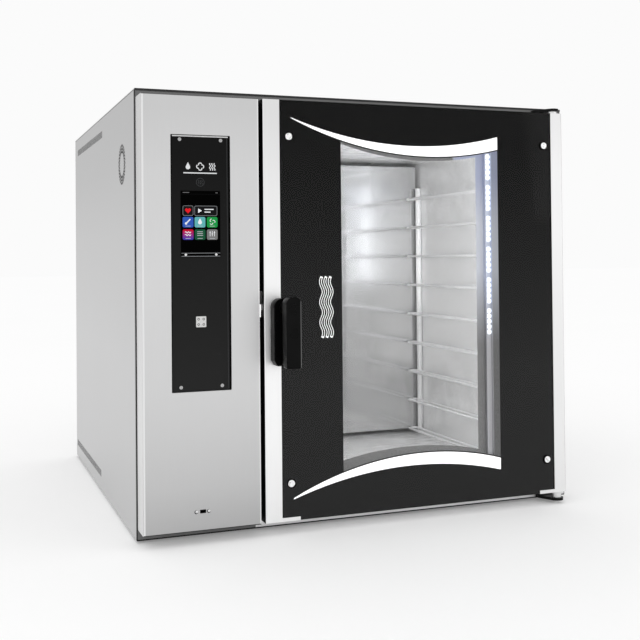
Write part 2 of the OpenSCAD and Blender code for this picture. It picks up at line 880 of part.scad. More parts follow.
module touch_screen() {
    bar_h = 7;
    glass_t = 1;
    color([0.02, 0.02, 0.02]) oven() {
        slab([screen_x0, plate_y - glass_t, screen_z0], [screen_x0 + screen_w, plate_y, screen_z1]);
        slab([screen_x0, plate_y - 2 * glass_t, screen_z0], [screen_x0 + screen_w, plate_y, screen_z0 + bar_h]);
    }
}

module display_module() {
    frame_w = 5 + seat_gap;
    color("darkgreen") oven()
        slab([screen_x0 + frame_w, plate_y, screen_z0 + frame_w],
            [screen_x0 + screen_w - frame_w, pocket_y + 10, screen_z1 - frame_w]);
}

module round_screw(r_head, l) {
    rod_y([0, -1.6, 0], r_head, 1.6);
    rod_y([0, 0, 0], screw_r, l);
}

module panel_screws() {
    color("silver") oven()
        plate_screw_places() translate([0, plate_y, 0]) difference() {
            round_screw(3.4, 8);
            rotate([90, 0, 0]) translate([0, 0, 0.8]) cylinder(r = 1.5, h = 2, $fn = 6);
        }
}

module control_board() {
    z0 = screen_z0 - 130;
    z1 = screen_z0 - 14;
    y0 = pocket_y + panel_t + 8;
    color("darkgreen") oven() {
        slab([plate_x0 + 1, y0, z0], [plate_x1 - 1, y0 + 1.6, z1]);
        for (x = [plate_x0 + 8, plate_x1 - 8])
            for (z = [z0 + 8, z1 - 8])
                rod_y([x, y0 - 8, z], 4, 8);
        slab([plate_x0 + 22, y0 + 1.6, z0 + 20], [plate_x0 + 52, y0 + 14, z0 + 60]);
        slab([plate_x0 + 64, y0 + 1.6, z0 + 30], [plate_x0 + 96, y0 + 9, z0 + 90]);
    }
}

module contactors() {
    unit_w = 45;
    unit_h = 82;
    unit_d = 74;
    z0 = tray_top + 400;
    color("dimgray") oven()
        for (k = [0:3])
            translate([partition_x, 240 + k * (unit_w + 6), z0]) difference() {
                union() {
                    slab([-unit_d * 0.6, 0, 0], [0, unit_w, unit_h]);
                    slab([-unit_d, 4, 18], [0, unit_w - 4, unit_h - 18]);
                }
                for (j = [0:2])
                    rod_z([-unit_d * 0.4, 10 + j * 12, unit_h - 6], 3, 10);
            }
}

module cooling_fan_frame() {
    w = cooler_w / 2;
    bore_r = w - 3;
    x0 = panel_t;
    color("dimgray") oven() translate([x0, cooler_y, cooler_z]) difference() {
        union() {
            difference() {
                slab([0, -w, -w], [cooler_d, w, w]);
                rod_x([-1, 0, 0], bore_r, cooler_d + 2);
            }
            for (a = [0, 120, 240])
                rotate([a, 0, 0]) slab([cooler_d - 4, -3, 10], [cooler_d, 3, bore_r + 1]);
            rod_x([cooler_d - 4, 0, 0], 17, 4);
        }
        rod_x([cooler_d - 6, 0, 0], 2 + turn_fit, 10);
        for (y = [-w + 6, w - 6])
            for (z = [-w + 6, w - 6])
                rod_x([-1, y, z], 2.1, cooler_d + 2);
    }
}

module cooling_rotor() {
    hub_r = 16;
    blades = 7;
    tip = cooler_w / 2 - 3.8;
    color("black") oven() translate([panel_t, cooler_y, cooler_z]) {
        rod_x([4, 0, 0], hub_r, cooler_d - 9);
        rod_x([4, 0, 0], 2, cooler_d - 5);
        intersection() {
            for (i = [0:blades - 1])
                rotate([i * 360 / blades, 0, 0]) translate([cooler_d / 2 - 1, 0, hub_r - 2])
                    rotate([0, 0, 42]) translate([-9, -0.8, 0]) cube([18, 1.6, tip]);
            rod_x([1, 0, 0], tip, cooler_d - 6);
        }
    }
}

module latch_keeper() {
    color("white") oven()
        slab([fascia_x1, front_y + 3, hub_z - 19], [fascia_x1 + 3.5, front_y + 20, hub_z + 6]);
}

// Bracket arm under the door's lower edge, with a hole for the hinge pin
module hinge_bracket(gap) {
    arm_t = 6;
    nose_r = 14;
    back_x = hinge_x - 30;
    difference() {
        union() {
            plate_xy(-gap, arm_t - gap) {
                translate([hinge_x, -hinge_out]) circle(nose_r);
                rect(hinge_x, -hinge_out, hinge_x + nose_r, 0);
                polygon([[back_x, 0], [back_x, -hinge_out + 26], [hinge_x - 12, -hinge_out - 8],
                    [hinge_x, -hinge_out - 8], [hinge_x, 0]]);
            }
            slab([back_x, -4, -gap], [hinge_x + nose_r, 0, 11 - gap]);
        }
        rod_z([hinge_x, -hinge_out, -gap - 1], hinge_pin_r + turn_fit, arm_t + 2);
    }
}

// Hinge pin with the collar that carries the door, from the arm's outer face
module hinge_pin(gap) {
    collar_from = 6 + turn_fit - gap;
    pin_l = 30;
    rod_z([hinge_x, -hinge_out, -gap], hinge_pin_r, pin_l + gap);
    rod_z([hinge_x, -hinge_out, collar_from], hinge_pin_r + 4, -seat_gap - collar_from);
}

// Draws its children at the door's lower edge, and mirrored at its upper edge
module hinge_places(low, top) {
    translate([0, 0, door_z0]) children(low);
    translate([0, 0, door_z1]) mirror([0, 0, 1]) children(top);
}

module hinge_brackets() {
    color([0.1, 0.1, 0.1]) oven() hinge_places(0, 1) {
        hinge_bracket(low_bracket_gap);
        hinge_bracket(top_bracket_gap);
    }
}

module hinge_pins() {
    color("silver") oven() hinge_places(0, 1) {
        hinge_pin(low_bracket_gap);
        hinge_pin(top_bracket_gap);
    }
}

// ---- Door ----

module door_liner_outline() {
    difference() {
        rect(door_x0, door_z0, hinge_x, door_z1);
        rect(hole_x0, hole_z0, hole_x1, hole_z1);
    }
}

module door_frame() {
    y0 = print_y1 + seat_gap;
    color("silver") oven() {
        difference() {
            plate_xz(y0, door_back_in) difference() {
                rect(ring_x0, ring_z0, ring_x1, ring_z1);
                rect(hole_x0, hole_z0, hole_x1, hole_z1);
            }
            plate_xz(y0 - 1, door_back_in - panel_t) difference() {
                rect(ring_x0 + panel_t, ring_z0 + panel_t, ring_x1 - panel_t, ring_z1 - panel_t);
                rect(hole_x0 - panel_t, hole_z0 - panel_t, hole_x1 + panel_t, hole_z1 + panel_t);
            }
        }
        plate_xz(door_back_in, door_back_y) door_liner_outline();
    }
}

// Folded strip with closed ends at the handle side
module left_stile() {
    x1 = door_x0 + stile_l;
    edge_r = 2;
    color("whitesmoke") oven() difference() {
        union() {
            plate_xy(door_z0, door_z1) difference() {
                rounded(door_x0, front_y, x1, door_back_in, [edge_r, 0, 0, 0]);
                rounded(door_x0 + panel_t, front_y + panel_t, x1 + 1, door_back_in + 1, [edge_r / 2, 0, 0, 0]);
            }
            for (z = [door_z0, door_z1 - panel_t])
                plate_xy(z, z + panel_t)
                    rounded(door_x0, front_y, x1, door_back_in, [edge_r, 0, 0, 0]);
            slab([x1 - 2, front_y, door_z0], [x1 + tab_l, front_y + 6, door_z0 + tab_h]);
        }
        rod_y([hub_x, front_y - 1, hub_z], spindle_r + 2.5, 12);
        slab([door_x0 - 1, front_y + 12, hub_z - 8], [door_x0 + 3, front_y + 30, hub_z + 32]);
    }
}

// Folded strip whose rear corner is round about the hinge axis
module right_stile() {
    x0 = door_x1 - stile_r;
    front_r = 4;
    color("whitesmoke") oven() difference() {
        union() {
            plate_xy(door_z0, door_z1) difference() {
                rounded(x0, front_y, door_x1, door_back_y, [0, front_r, hinge_inset, 0]);
                rounded(x0 - 1, front_y + panel_t, door_x1 - panel_t, door_back_in,
                    [0, front_r - panel_t, hinge_inset - panel_t, 0]);
                rect(x0 - 1, door_back_in - 1, hinge_x, door_back_y + 1);
            }
            for (z = [door_z0, door_z1 - panel_t])
                plate_xy(z, z + panel_t) difference() {
                    rounded(x0, front_y, door_x1, door_back_y, [0, front_r, hinge_inset, 0]);
                    rect(x0 - 1, door_back_in, hinge_x, door_back_y + 1);
                }
            slab([x0 - tab_l, front_y, door_z0], [x0 + 2, front_y + 6, door_z0 + tab_h]);
        }
        rod_z([hinge_x, -hinge_out, door_z0 - 1], hinge_pin_r + 1, door_z1 - door_z0 + 2);
    }
}

module hinge_bushes() {
    bush_l = 32;
    color("darkgoldenrod") oven()
        for (z = [door_z0 + panel_t, door_z1 - panel_t - bush_l])
            difference() {
                rod_z([hinge_x, -hinge_out, z], hinge_pin_r + 4, bush_l);
                rod_z([hinge_x, -hinge_out, z - 1], hinge_pin_r + turn_fit, bush_l + 2);
            }
}

// Repeats its children at the four glass bolts
module bolt_places() {
    for (x = bolt_x)
        for (z = bolt_z)
            translate([x, 0, z]) children();
}

module glass_outline() {
    difference() {
        rect(glass_x0, glass_z0, glass_x1, door_z1);
        rect(glass_x0 - 1, door_z0, glass_x0 + tab_l, notch_z1);
        rect(glass_x1 - tab_l, door_z0, glass_x1 + 1, notch_z1);
        translate([hub_x, hub_z]) circle(spindle_r + 2.5);
        for (x = bolt_x)
            for (z = bolt_z)
                translate([x, z]) circle(bolt_r + seat_gap);
    }
}

// White curved stripe over and under the window
module arch_stripes() {
    intersection() {
        difference() {
            sag_disc(top_inner);
            sag_disc(top_outer);
        }
        rect(arch_tip, door_z1 - 120, win_x1, door_z1);
    }
    intersection() {
        difference() {
            rise_disc(low_inner);
            rise_disc(low_outer);
        }
        rect(arch_tip, door_z0 + 20, win_x1, door_z0 + 130);
    }
}

module window_outline() {
    difference() {
        rect(win_x0, door_z0 + 40, win_x1, door_z1 - 40);
        sag_disc(top_inner, arch_line);
        rise_disc(low_inner, arch_line);
    }
}

module outer_glass() {
    color([0.75, 0.85, 0.85, 0.3]) oven() plate_xz(glass_y0, glass_y1) glass_outline();
}

module glass_border() {
    color([0.05, 0.05, 0.05]) oven() plate_xz(glass_y1, print_y1) difference() {
        glass_outline();
        window_outline();
        arch_stripes();
    }
}

module glass_arches() {
    color("white") oven() plate_xz(glass_y1, print_y1) arch_stripes();
}

module inner_glass() {
    color([0.75, 0.85, 0.85, 0.3]) oven() plate_xz(inner_y0, inner_y1)
        rect(hole_x0 + seat_gap, hole_z0 + seat_gap, hole_x1 - seat_gap, hole_z1 - seat_gap);
}

module inner_border() {
    color([0.3, 0.3, 0.3]) oven() plate_xz(inner_y0 - print_t, inner_y0) difference() {
        rect(hole_x0 + seat_gap, hole_z0 + seat_gap, hole_x1 - seat_gap, hole_z1 - seat_gap);
        difference() {
            rect(hole_x0 + 20, hole_z0, inner_x, hole_z1);
            sag_disc(inner_top);
            rise_disc(inner_low);
        }
    }
}

module glass_bolts() {
    shank_r = bolt_r - 1;
    head_t = 3;
    color("whitesmoke") oven() bolt_places() {
        rod_y([0, glass_y0 - head_t, 0], bolt_cap_d / 2 - 1, head_t);
        rod_y([0, glass_y0 - head_t + 1, 0], bolt_cap_d / 2, head_t - 1);
        rod_y([0, glass_y0 - 1, 0], shank_r, door_back_in - panel_t - glass_y0 + 1);
    }
}

module led_profile() {
    w = 8;
    color("silver") oven() difference() {
        slab([led_x - w, led_y, hole_z0], [led_x + w, led_y + 10, hole_z1]);
        slab([led_x - w + 2, led_y - 1, hole_z0 - 1], [led_x + w - 2, led_y + 3, hole_z1 + 1]);
    }
}

module led_chips() {
    chip = 5;
    group_step = 67;
    chip_step = 11.5;
    color("white") oven()
        for (g = [0:5])
            for (i = [0:4])
                slab([led_x - chip / 2, led_y + 1.6, hole_z1 - 34 - g * group_step - i * chip_step],
                    [led_x + chip / 2, led_y + 3, hole_z1 - 34 + chip - g * group_step - i * chip_step]);
}

// ---- Handle ----

module handle_base_outline() {
    x0 = door_x0 + 13;
    x1 = x0 + handle_base_w;
    z1 = hub_z + handle_base_w / 2;
    z0 = z1 - handle_base_h;
    r = handle_base_w / 2;
    cut = 7;
    difference() {
        rounded(x0, z0, x1, z1, [0, 0, r, r]);
        polygon([[x0 - 1, z0 - 1], [x0 + cut, z0 - 1], [x0 - 1, z0 + 1.6 * cut]]);
        polygon([[x1 + 1, z0 - 1], [x1 - cut, z0 - 1], [x1 + 1, z0 + 1.6 * cut]]);
    }
}

module handle_base() {
    edge = 3;
    color([0.08, 0.08, 0.08]) oven() difference() {
        plate_xz(front_y - handle_base_d, front_y) handle_base_outline();
        rod_y([hub_x, front_y - handle_base_d - 1, hub_z], spindle_r + turn_fit, handle_base_d + 2);
        plate_xz(front_y - handle_base_d - 1, front_y - handle_base_d + 1.2)
            rounded(door_x0 + 13 + edge, hub_z - 98, door_x0 + 13 + handle_base_w - edge, hub_z - 22,
                [2, 2, 8, 8]);
    }
}

module handle_lever() {
    y0 = front_y - grip_out;
    y1 = y0 + grip_d;
    r = grip_w / 2;
    cap_r = 9;
    hub_y = front_y - handle_base_d - seat_gap;
    color([0.06, 0.06, 0.06]) oven() {
        difference() {
            plate_xz(y0, y1)
                rounded(hub_x - r, hub_z - grip_len, hub_x + r, hub_z + grip_top, [3, 3, r - 1, r - 1]);
            slab([hub_x - r - 1, y1 - 5, hub_z - grip_len - 1], [hub_x + r + 1, y1 + 1, hub_z - grip_len + 5]);
            rod_y([hub_x, y0 - 1, hub_z], cap_r + 1, 1.6);
        }
        rod_y([hub_x, y0 + 0.2, hub_z], cap_r, 2);
        rod_y([hub_x, y1 - 1, hub_z], r - 1, hub_y - y1 + 1);
    }
}

module latch_tongue() {
    y0 = front_y + 14;
    color("silver") oven() {
        rod_y([hub_x, front_y - handle_base_d - seat_gap, hub_z], spindle_r, handle_base_d + seat_gap + 30);
        rod_y([hub_x, y0 - 2, hub_z], 9, 14);
        slab([hub_x - latch_reach, y0, hub_z - 6], [hub_x, y0 + 10, hub_z + 6]);
    }
}

base_frame();
rubber_feet();
base_tray();
left_side_panel();
right_side_panel();
top_cover();
top_trim();
rear_panel();
front_frame();
partition_panel();
motor_bulkhead();
cavity_shell();
insulation();
fan_baffle();
left_rack();
right_rack();
door_gasket();
outer_seal();
upper_heater();
lower_heater();
upper_fan_motor();
lower_fan_motor();
shaft_bushes();
steam_injector();
drain_strainer();
drain_pipe();
vent_pipe();
damper_actuator();
solenoid_valve();
cable_gland();
control_fascia();
control_plate();
touch_screen();
display_module();
panel_screws();
control_board();
contactors();
cooling_fan_frame();
latch_keeper();
hinge_brackets();
hinge_pins();
door_frame();
left_stile();
right_stile();
hinge_bushes();
outer_glass();
glass_border();
glass_arches();
inner_glass();
inner_border();
glass_bolts();
led_profile();
led_chips();
handle_base();
handle_lever();
latch_tongue();
upper_fan();
lower_fan();
cooling_rotor();
vent_damper();
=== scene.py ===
"""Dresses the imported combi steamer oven.

Materials first, then screen pictures and small trim, then camera, floor and lamps.
"""

import json
import math

import bpy
from mathutils import Euler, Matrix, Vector

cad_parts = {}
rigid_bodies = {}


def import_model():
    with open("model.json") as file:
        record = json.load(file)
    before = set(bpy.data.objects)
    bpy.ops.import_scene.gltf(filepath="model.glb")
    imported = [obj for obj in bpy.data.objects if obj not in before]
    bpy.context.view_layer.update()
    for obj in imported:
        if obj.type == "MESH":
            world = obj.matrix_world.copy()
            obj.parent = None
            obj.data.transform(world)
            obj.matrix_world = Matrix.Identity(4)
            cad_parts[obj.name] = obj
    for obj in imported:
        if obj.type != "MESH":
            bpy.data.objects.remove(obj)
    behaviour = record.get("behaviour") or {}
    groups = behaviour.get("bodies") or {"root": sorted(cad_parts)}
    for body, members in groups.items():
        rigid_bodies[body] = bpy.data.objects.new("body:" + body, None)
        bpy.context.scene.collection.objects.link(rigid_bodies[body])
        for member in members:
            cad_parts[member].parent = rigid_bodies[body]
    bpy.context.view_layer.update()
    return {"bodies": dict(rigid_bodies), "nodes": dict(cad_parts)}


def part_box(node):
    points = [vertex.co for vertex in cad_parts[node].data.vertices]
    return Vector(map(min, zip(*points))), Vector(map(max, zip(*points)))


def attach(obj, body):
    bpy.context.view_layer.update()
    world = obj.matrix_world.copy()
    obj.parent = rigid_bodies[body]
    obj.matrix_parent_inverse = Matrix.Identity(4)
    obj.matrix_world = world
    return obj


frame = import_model()
nodes = frame["nodes"]

# The oven's own places (x from the left side, y back from the body front, z above the base), in millimetres
SHIFT = (-486.0, -411.5, 5.0)


def at(u, v, z):
    return Vector(((u + SHIFT[0]) / 1000, (v + SHIFT[1]) / 1000, (z + SHIFT[2]) / 1000))


# -------------------- materials


def grey(value):
    return (value, value, value)


class Look:
    """A Principled material with object coordinates in metres, to which detail is added step by step."""

    def __init__(self, name, colour, rough, metal=0.0, spec=0.5):
        self.m = bpy.data.materials.new(name)
        self.m.use_nodes = True
        self.t = self.m.node_tree
        self.b = self.t.nodes["Principled BSDF"]
        self.b.inputs["Base Color"].default_value = (*colour, 1)
        self.b.inputs["Roughness"].default_value = rough
        self.b.inputs["Metallic"].default_value = metal
        self.b.inputs["Specular IOR Level"].default_value = spec
        self.m.diffuse_color = (*colour, 1)
        places = self.t.nodes.new("ShaderNodeTexCoord")
        self.coord, self.facing = places.outputs["Object"], places.outputs["Normal"]
        self.normal = None
        self.base = None

    def noise(self, scale, detail=3, rough=0.5, stretch=(1, 1, 1)):
        mapping = self.t.nodes.new("ShaderNodeMapping")
        mapping.inputs["Scale"].default_value = stretch
        self.t.links.new(self.coord, mapping.inputs["Vector"])
        n = self.t.nodes.new("ShaderNodeTexNoise")
        n.inputs["Scale"].default_value = scale
        n.inputs["Detail"].default_value = detail
        n.inputs["Roughness"].default_value = rough
        self.t.links.new(mapping.outputs["Vector"], n.inputs["Vector"])
        return n.outputs["Fac"]

    def span(self, value, low, high, t0=0.3, t1=0.7):
        r = self.t.nodes.new("ShaderNodeMapRange")
        r.inputs["From Min"].default_value = t0
        r.inputs["From Max"].default_value = t1
        r.inputs["To Min"].default_value = low
        r.inputs["To Max"].default_value = high
        self.t.links.new(value, r.inputs["Value"])
        return r.outputs["Result"]

    def math(self, op, a, b):
        n = self.t.nodes.new("ShaderNodeMath")
        n.operation = op
        for i, x in enumerate((a, b)):
            if isinstance(x, (int, float)):
                n.inputs[i].default_value = x
            else:
                self.t.links.new(x, n.inputs[i])
        return n.outputs[0]

    def tint(self, value, a, b, t0=0.3, t1=0.7):
        """Base colour runs from a to b as the value runs from t0 to t1."""
        ramp = self.t.nodes.new("ShaderNodeValToRGB")
        e = ramp.color_ramp.elements
        e[0].position, e[0].color = t0, (*a, 1)
        e[1].position, e[1].color = t1, (*b, 1)
        self.t.links.new(value, ramp.inputs["Fac"])
        return self.paint(ramp.outputs["Color"])

    def paint(self, socket):
        self.base = socket
        self.t.links.new(socket, self.b.inputs["Base Color"])
        return self

    def axis(self, name, source=None):
        """One coordinate of the place on the object, in metres, or of another vector."""
        split = self.t.nodes.new("ShaderNodeSeparateXYZ")
        self.t.links.new(source or self.coord, split.inputs[0])
        return split.outputs[name]

    def between(self, value, low, high, edge=0.0002):
        """1 where the value lies between low and high, 0 outside, with a soft edge."""
        up = self.span(value, 0.0, 1.0, low - edge, low + edge)
        down = self.span(value, 1.0, 0.0, high - edge, high + edge)
        return self.math("MULTIPLY", up, down)

    def over(self, mask, colour):
        """Lays a colour over the base colour where the mask is 1."""
        mix = self.t.nodes.new("ShaderNodeMix")
        mix.data_type = "RGBA"
        self.t.links.new(mask, mix.inputs["Factor"])
        self.t.links.new(self.base, mix.inputs["A"])
        mix.inputs["B"].default_value = (*colour, 1)
        return self.paint(mix.outputs["Result"])

    def times(self, value):
        """Multiplies the base colour by a value."""
        scale = self.t.nodes.new("ShaderNodeVectorMath")
        scale.operation = "SCALE"
        self.t.links.new(self.base, scale.inputs[0])
        self.t.links.new(value, scale.inputs["Scale"])
        return self.paint(scale.outputs[0])

    def along_z(self, stops, top=0.9):
        """A value that follows stops of (height in metres, value) up the oven."""
        ramp = self.t.nodes.new("ShaderNodeValToRGB")
        self.t.links.new(self.math("DIVIDE", self.axis("Z"), top), ramp.inputs["Fac"])
        e = ramp.color_ramp.elements
        while len(e) < len(stops):
            e.new(0.5)
        for element, (z, value) in zip(e, stops):
            element.position, element.color = z / top, (value, value, value, 1)
        return ramp.outputs["Color"]

    def roughen(self, value, low, high, t0=0.3, t1=0.7):
        self.t.links.new(self.span(value, low, high, t0, t1), self.b.inputs["Roughness"])
        return self

    def bump(self, value, depth, strength=1.0):
        n = self.t.nodes.new("ShaderNodeBump")
        n.inputs["Strength"].default_value = strength
        n.inputs["Distance"].default_value = depth
        self.t.links.new(value, n.inputs["Height"])
        if self.normal is not None:
            self.t.links.new(self.normal, n.inputs["Normal"])
        self.normal = n.outputs["Normal"]
        self.t.links.new(self.normal, self.b.inputs["Normal"])
        return self


def shade(colour, k):
    return tuple(min(1.0, c * k) for c in colour)


def brushed(name, colour, rough, grain="z", vary=0.05, aniso=0.3):
    """Stainless sheet with its grain along one axis, faint clouds and fine scratches."""
    m = Look(name, colour, rough, metal=1.0)
    stretch = {"z": (1, 1, 0.012), "x": (0.012, 1, 1), "y": (1, 0.012, 1)}[grain]
    fine = m.noise(1500, 2, 0.6, stretch)
    cloud = m.noise(3.5, 3, 0.5)
    mix = m.math("ADD", m.math("MULTIPLY", fine, 0.45), m.math("MULTIPLY", cloud, 0.55))
    m.tint(mix, shade(colour, 1 - vary), shade(colour, 1 + vary), 0.36, 0.64)
    m.roughen(mix, rough - 0.05, rough + 0.06)
    m.bump(fine, 0.00002, 0.5)
    m.b.inputs["Anisotropic"].default_value = aniso
    return m


def plastic(name, colour, rough, grain=900, depth=0.00006):
    """Moulded plastic with a fine spark-eroded grain and slightly worn, shinier patches."""
    m = Look(name, colour, rough)
    fine = m.noise(grain, 2, 0.7)
    worn = m.noise(22, 3)
    m.tint(worn, shade(colour, 0.82), shade(colour, 1.25))
    m.roughen(worn, rough - 0.07, rough + 0.08)
    m.bump(fine, depth, 0.6)
    return m


LOOKS = {}
# Where sheet edges lie in the shared frame, in metres
FASCIA_CORNER = (-0.4837, -0.4802)
FASCIA_FOLD = (-0.2552, -0.2530)
FASCIA_FOOT = 0.0297
FASCIA_HEAD = 0.8625
BODY_LEFT = -0.6
DOOR_LEFT = -0.247
TOP = 0.9
HOLE_RINGS = (0.0235, 0.0425)
# Painted light and shade on the steel up the oven, as (height, factor)
PAINTED_LIGHT_RISE = ((0.02, 0.7), (0.11, 0.83), (0.3, 0.95), (0.5, 1.0), (0.72, 0.97), (0.84, 0.89))
FRONT_Y = -0.4115

# Fascia: painted light and shade up its height, a painted highlight line at each fold, painted shade on the
# left return (lighter towards its foot), and painted shadow lines along the lower and upper edges
m = brushed("fascia_steel", (0.67, 0.67, 0.672), 0.36, "z", 0.02)
m.times(m.along_z(PAINTED_LIGHT_RISE))
m.over(m.between(m.axis("X"), *FASCIA_CORNER), grey(0.8))
m.over(m.between(m.axis("X"), *FASCIA_FOLD), grey(0.82))
side = m.between(m.axis("X", m.facing), -1.1, -0.7, 0.1)
m.over(side, grey(0.6))
m.over(m.math("MULTIPLY", side, m.span(m.axis("Z"), 1.0, 0.0, 0.2, 0.75)), grey(0.76))
front = m.between(m.axis("Y", m.facing), -1.1, -0.7, 0.1)
m.over(m.math("MULTIPLY", front, m.between(m.axis("Z"), 0.0, FASCIA_FOOT)), grey(0.06))
m.over(m.math("MULTIPLY", front, m.between(m.axis("Z"), FASCIA_HEAD, TOP)), grey(0.12))
LOOKS["fascia"] = m.m

# Sides: painted light and shade up their height, painted shade along the front seam and along the top,
# painted shade round the rings of holes and inside the holes
m = brushed("side_steel", (0.6, 0.6, 0.602), 0.42, "z", 0.03)
m.times(m.along_z(((0.0, 0.97), (0.35, 1.0), (0.6, 0.93), (0.75, 0.83), (0.86, 0.8))))
m.over(m.between(m.axis("Y"), FRONT_Y - 0.001, FRONT_Y + 0.0085, 0.001), grey(0.03))
m.over(m.between(m.axis("Z"), 0.8788, TOP), grey(0.07))
ring_low, ring_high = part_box("cooling_rotor")
offset = m.t.nodes.new("ShaderNodeCombineXYZ")
for name, i in (("Y", 1), ("Z", 2)):
    m.t.links.new(m.math("SUBTRACT", m.axis(name), (ring_low[i] + ring_high[i]) / 2), offset.inputs[name])
reach = m.t.nodes.new("ShaderNodeVectorMath")
reach.operation = "LENGTH"
m.t.links.new(offset.outputs[0], reach.inputs[0])
left_half = m.between(m.axis("X"), BODY_LEFT, 0.0)
ring = m.math("MULTIPLY", left_half, m.between(reach.outputs["Value"], *HOLE_RINGS, 0.0006))
m.over(ring, grey(0.3))
m.over(m.span(m.math("ABSOLUTE", m.axis("X", m.facing), 0), 1.0, 0.0, 0.3, 0.6), grey(0.012))
LOOKS["side"] = m.m

LOOKS["cover"] = brushed("cover_steel", (0.6, 0.6, 0.602), 0.42, "y", 0.03).m

# Body frame round the door: painted shade under the fascia and along its top, with a painted shadow line at
# its foot
SILL_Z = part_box("front_frame")[0][2]
m = brushed("inner_sheet", (0.74, 0.74, 0.745), 0.45, "z")
under_fascia = m.between(m.axis("X"), BODY_LEFT, DOOR_LEFT)
low_left = m.math("MULTIPLY", under_fascia, m.between(m.axis("Z"), 0.0, 0.06))
m.over(low_left, grey(0.17))
m.over(m.between(m.axis("Z"), 0.0, SILL_Z + 0.0026), grey(0.02))
m.over(m.between(m.axis("Z"), FASCIA_HEAD, TOP), grey(0.16))
LOOKS["front_frame"] = m.m

# Base: painted shadow at its foot and painted shade under the fascia
m = brushed("base_sheet", (0.62, 0.62, 0.625), 0.45, "x")
m.over(m.between(m.axis("Z"), 0.0, 0.0098), grey(0.02))
m.over(m.between(m.axis("X"), BODY_LEFT, DOOR_LEFT), grey(0.1))
LOOKS["base"] = m.m

# Inner sheets seen through the vents, given a dark colour as painted shade
m = brushed("shaded_sheet", grey(0.09), 0.6, "z")
m.b.inputs["Metallic"].default_value = 0.4
LOOKS["shaded"] = m.m


def edge_steel(name, colour, low, rise):
    """Bright door steel, painted lighter and darker up its height, with painted shade on the side that faces
    the gap and along the far edge.
    """
    m = brushed(name, colour, 0.4, "z", 0.015)
    m.times(m.along_z(rise))
    m.over(m.between(m.axis("X", m.facing), -1.1, -0.75, 0.1), grey(0.012))
    m.over(m.between(m.axis("X"), low, 0.6), grey(0.3))
    return m.m


# Painted light and shade up each stile, as (height, factor)
LEFT_RISE = ((0.03, 1.12), (0.35, 1.13), (0.5, 1.12), (0.7, 0.98), (0.84, 0.88))
RIGHT_RISE = ((0.03, 1.0), (0.35, 1.0), (0.6, 1.0), (0.75, 0.93), (0.84, 0.86))
LOOKS["left_stile"] = edge_steel("left_stile_steel", grey(0.84), 0.5, LEFT_RISE)
LOOKS["right_stile"] = edge_steel("right_stile_steel", grey(0.84), 0.4502, RIGHT_RISE)

# The door's frame, with painted shade on the side that faces the gap
m = brushed("liner_steel", (0.72, 0.72, 0.725), 0.3, "z")
m.over(m.between(m.axis("X", m.facing), -1.1, -0.75, 0.1), grey(0.012))
LOOKS["liner"] = m.m

# Half metallic, so that the lamp at the door gives no hard spots in the cavity
m = brushed("cavity_steel", grey(0.86), 0.26, "x", 0.03)
m.b.inputs["Metallic"].default_value = 0.45
LOOKS["cavity"] = m.m

# Nearly a mirror, which shows the rails again beside the post
m = brushed("baffle_steel", grey(0.56), 0.07, "x", 0.02, 0.0)
m.b.inputs["Metallic"].default_value = 0.8
LOOKS["baffle"] = m.m

LOOKS["screw"] = brushed("screw_steel", grey(0.42), 0.35, "y", 0.08).m
LOOKS["turned"] = brushed("turned_steel", grey(0.74), 0.3, "y", 0.05).m
m = brushed("rack_wire", (0.74, 0.74, 0.745), 0.3, "y", 0.02, 0.0)
m.b.inputs["Metallic"].default_value = 0.35
# The upper rear post is paler, as the light strip makes it
rear_post = m.between(m.axis("Y"), 0.166, 0.192)
m.over(m.math("MULTIPLY", rear_post, m.span(m.axis("Z"), 0.0, 1.0, 0.36, 0.46)), grey(1.0))
LOOKS["wire"] = m.m
LOOKS["aluminium"] = brushed("cast_aluminium", (0.62, 0.62, 0.63), 0.4, "y", 0.07, 0.0).m
LOOKS["copper"] = brushed("copper_pipe", (0.75, 0.37, 0.22), 0.28, "y", 0.12, 0.0).m
LOOKS["brass"] = brushed("valve_brass", (0.72, 0.54, 0.24), 0.3, "y", 0.1, 0.0).m
LOOKS["bronze"] = brushed("bush_bronze", (0.52, 0.34, 0.14), 0.38, "y", 0.1, 0.0).m
LOOKS["black"] = plastic("black_plastic", grey(0.008), 0.36).m
m = plastic("handle_plastic", grey(0.0022), 0.34)
m.b.inputs["Specular IOR Level"].default_value = 0.03
LOOKS["handle"] = m.m
m = plastic("grip_plastic", grey(0.004), 0.32)
m.b.inputs["Specular IOR Level"].default_value = 0.06
# Painted highlight: a pale line along the grip's right edge
m.over(m.between(m.axis("X"), -0.1926, -0.1912, 0.0003), grey(0.16))
LOOKS["grip"] = m.m
LOOKS["rubber"] = plastic("black_rubber", grey(0.016), 0.72, 500, 0.0001).m
LOOKS["motor"] = plastic("motor_paint", (0.07, 0.075, 0.082), 0.45, 380, 0.00014).m
m = plastic("black_bracket", grey(0.003), 0.34, 650)
m.b.inputs["Specular IOR Level"].default_value = 0.12
LOOKS["black_metal"] = m.m
# The keeper's white plastic gives off light of its own: painted light
m = plastic("white_plastic", grey(0.8), 0.3)
m.b.inputs["Emission Color"].default_value = (1, 1, 1, 1)
m.b.inputs["Emission Strength"].default_value = 0.8
LOOKS["white"] = m.m


def black_painted_lighter_below(name, low, high, z_low, z_high, rough, spec):
    """Black print or paint with painted light that makes it slightly lighter towards its lower end, with a
    fine mottle.
    """
    m = Look(name, low, rough, spec=spec)
    height = m.span(m.axis("Z"), 0.0, 1.0, z_low, z_high)
    mottle = m.math("MULTIPLY", m.math("SUBTRACT", m.noise(240, 3), 0.5), 0.12)
    m.tint(m.math("ADD", height, mottle), low, high, 0.0, 1.0)
    return m


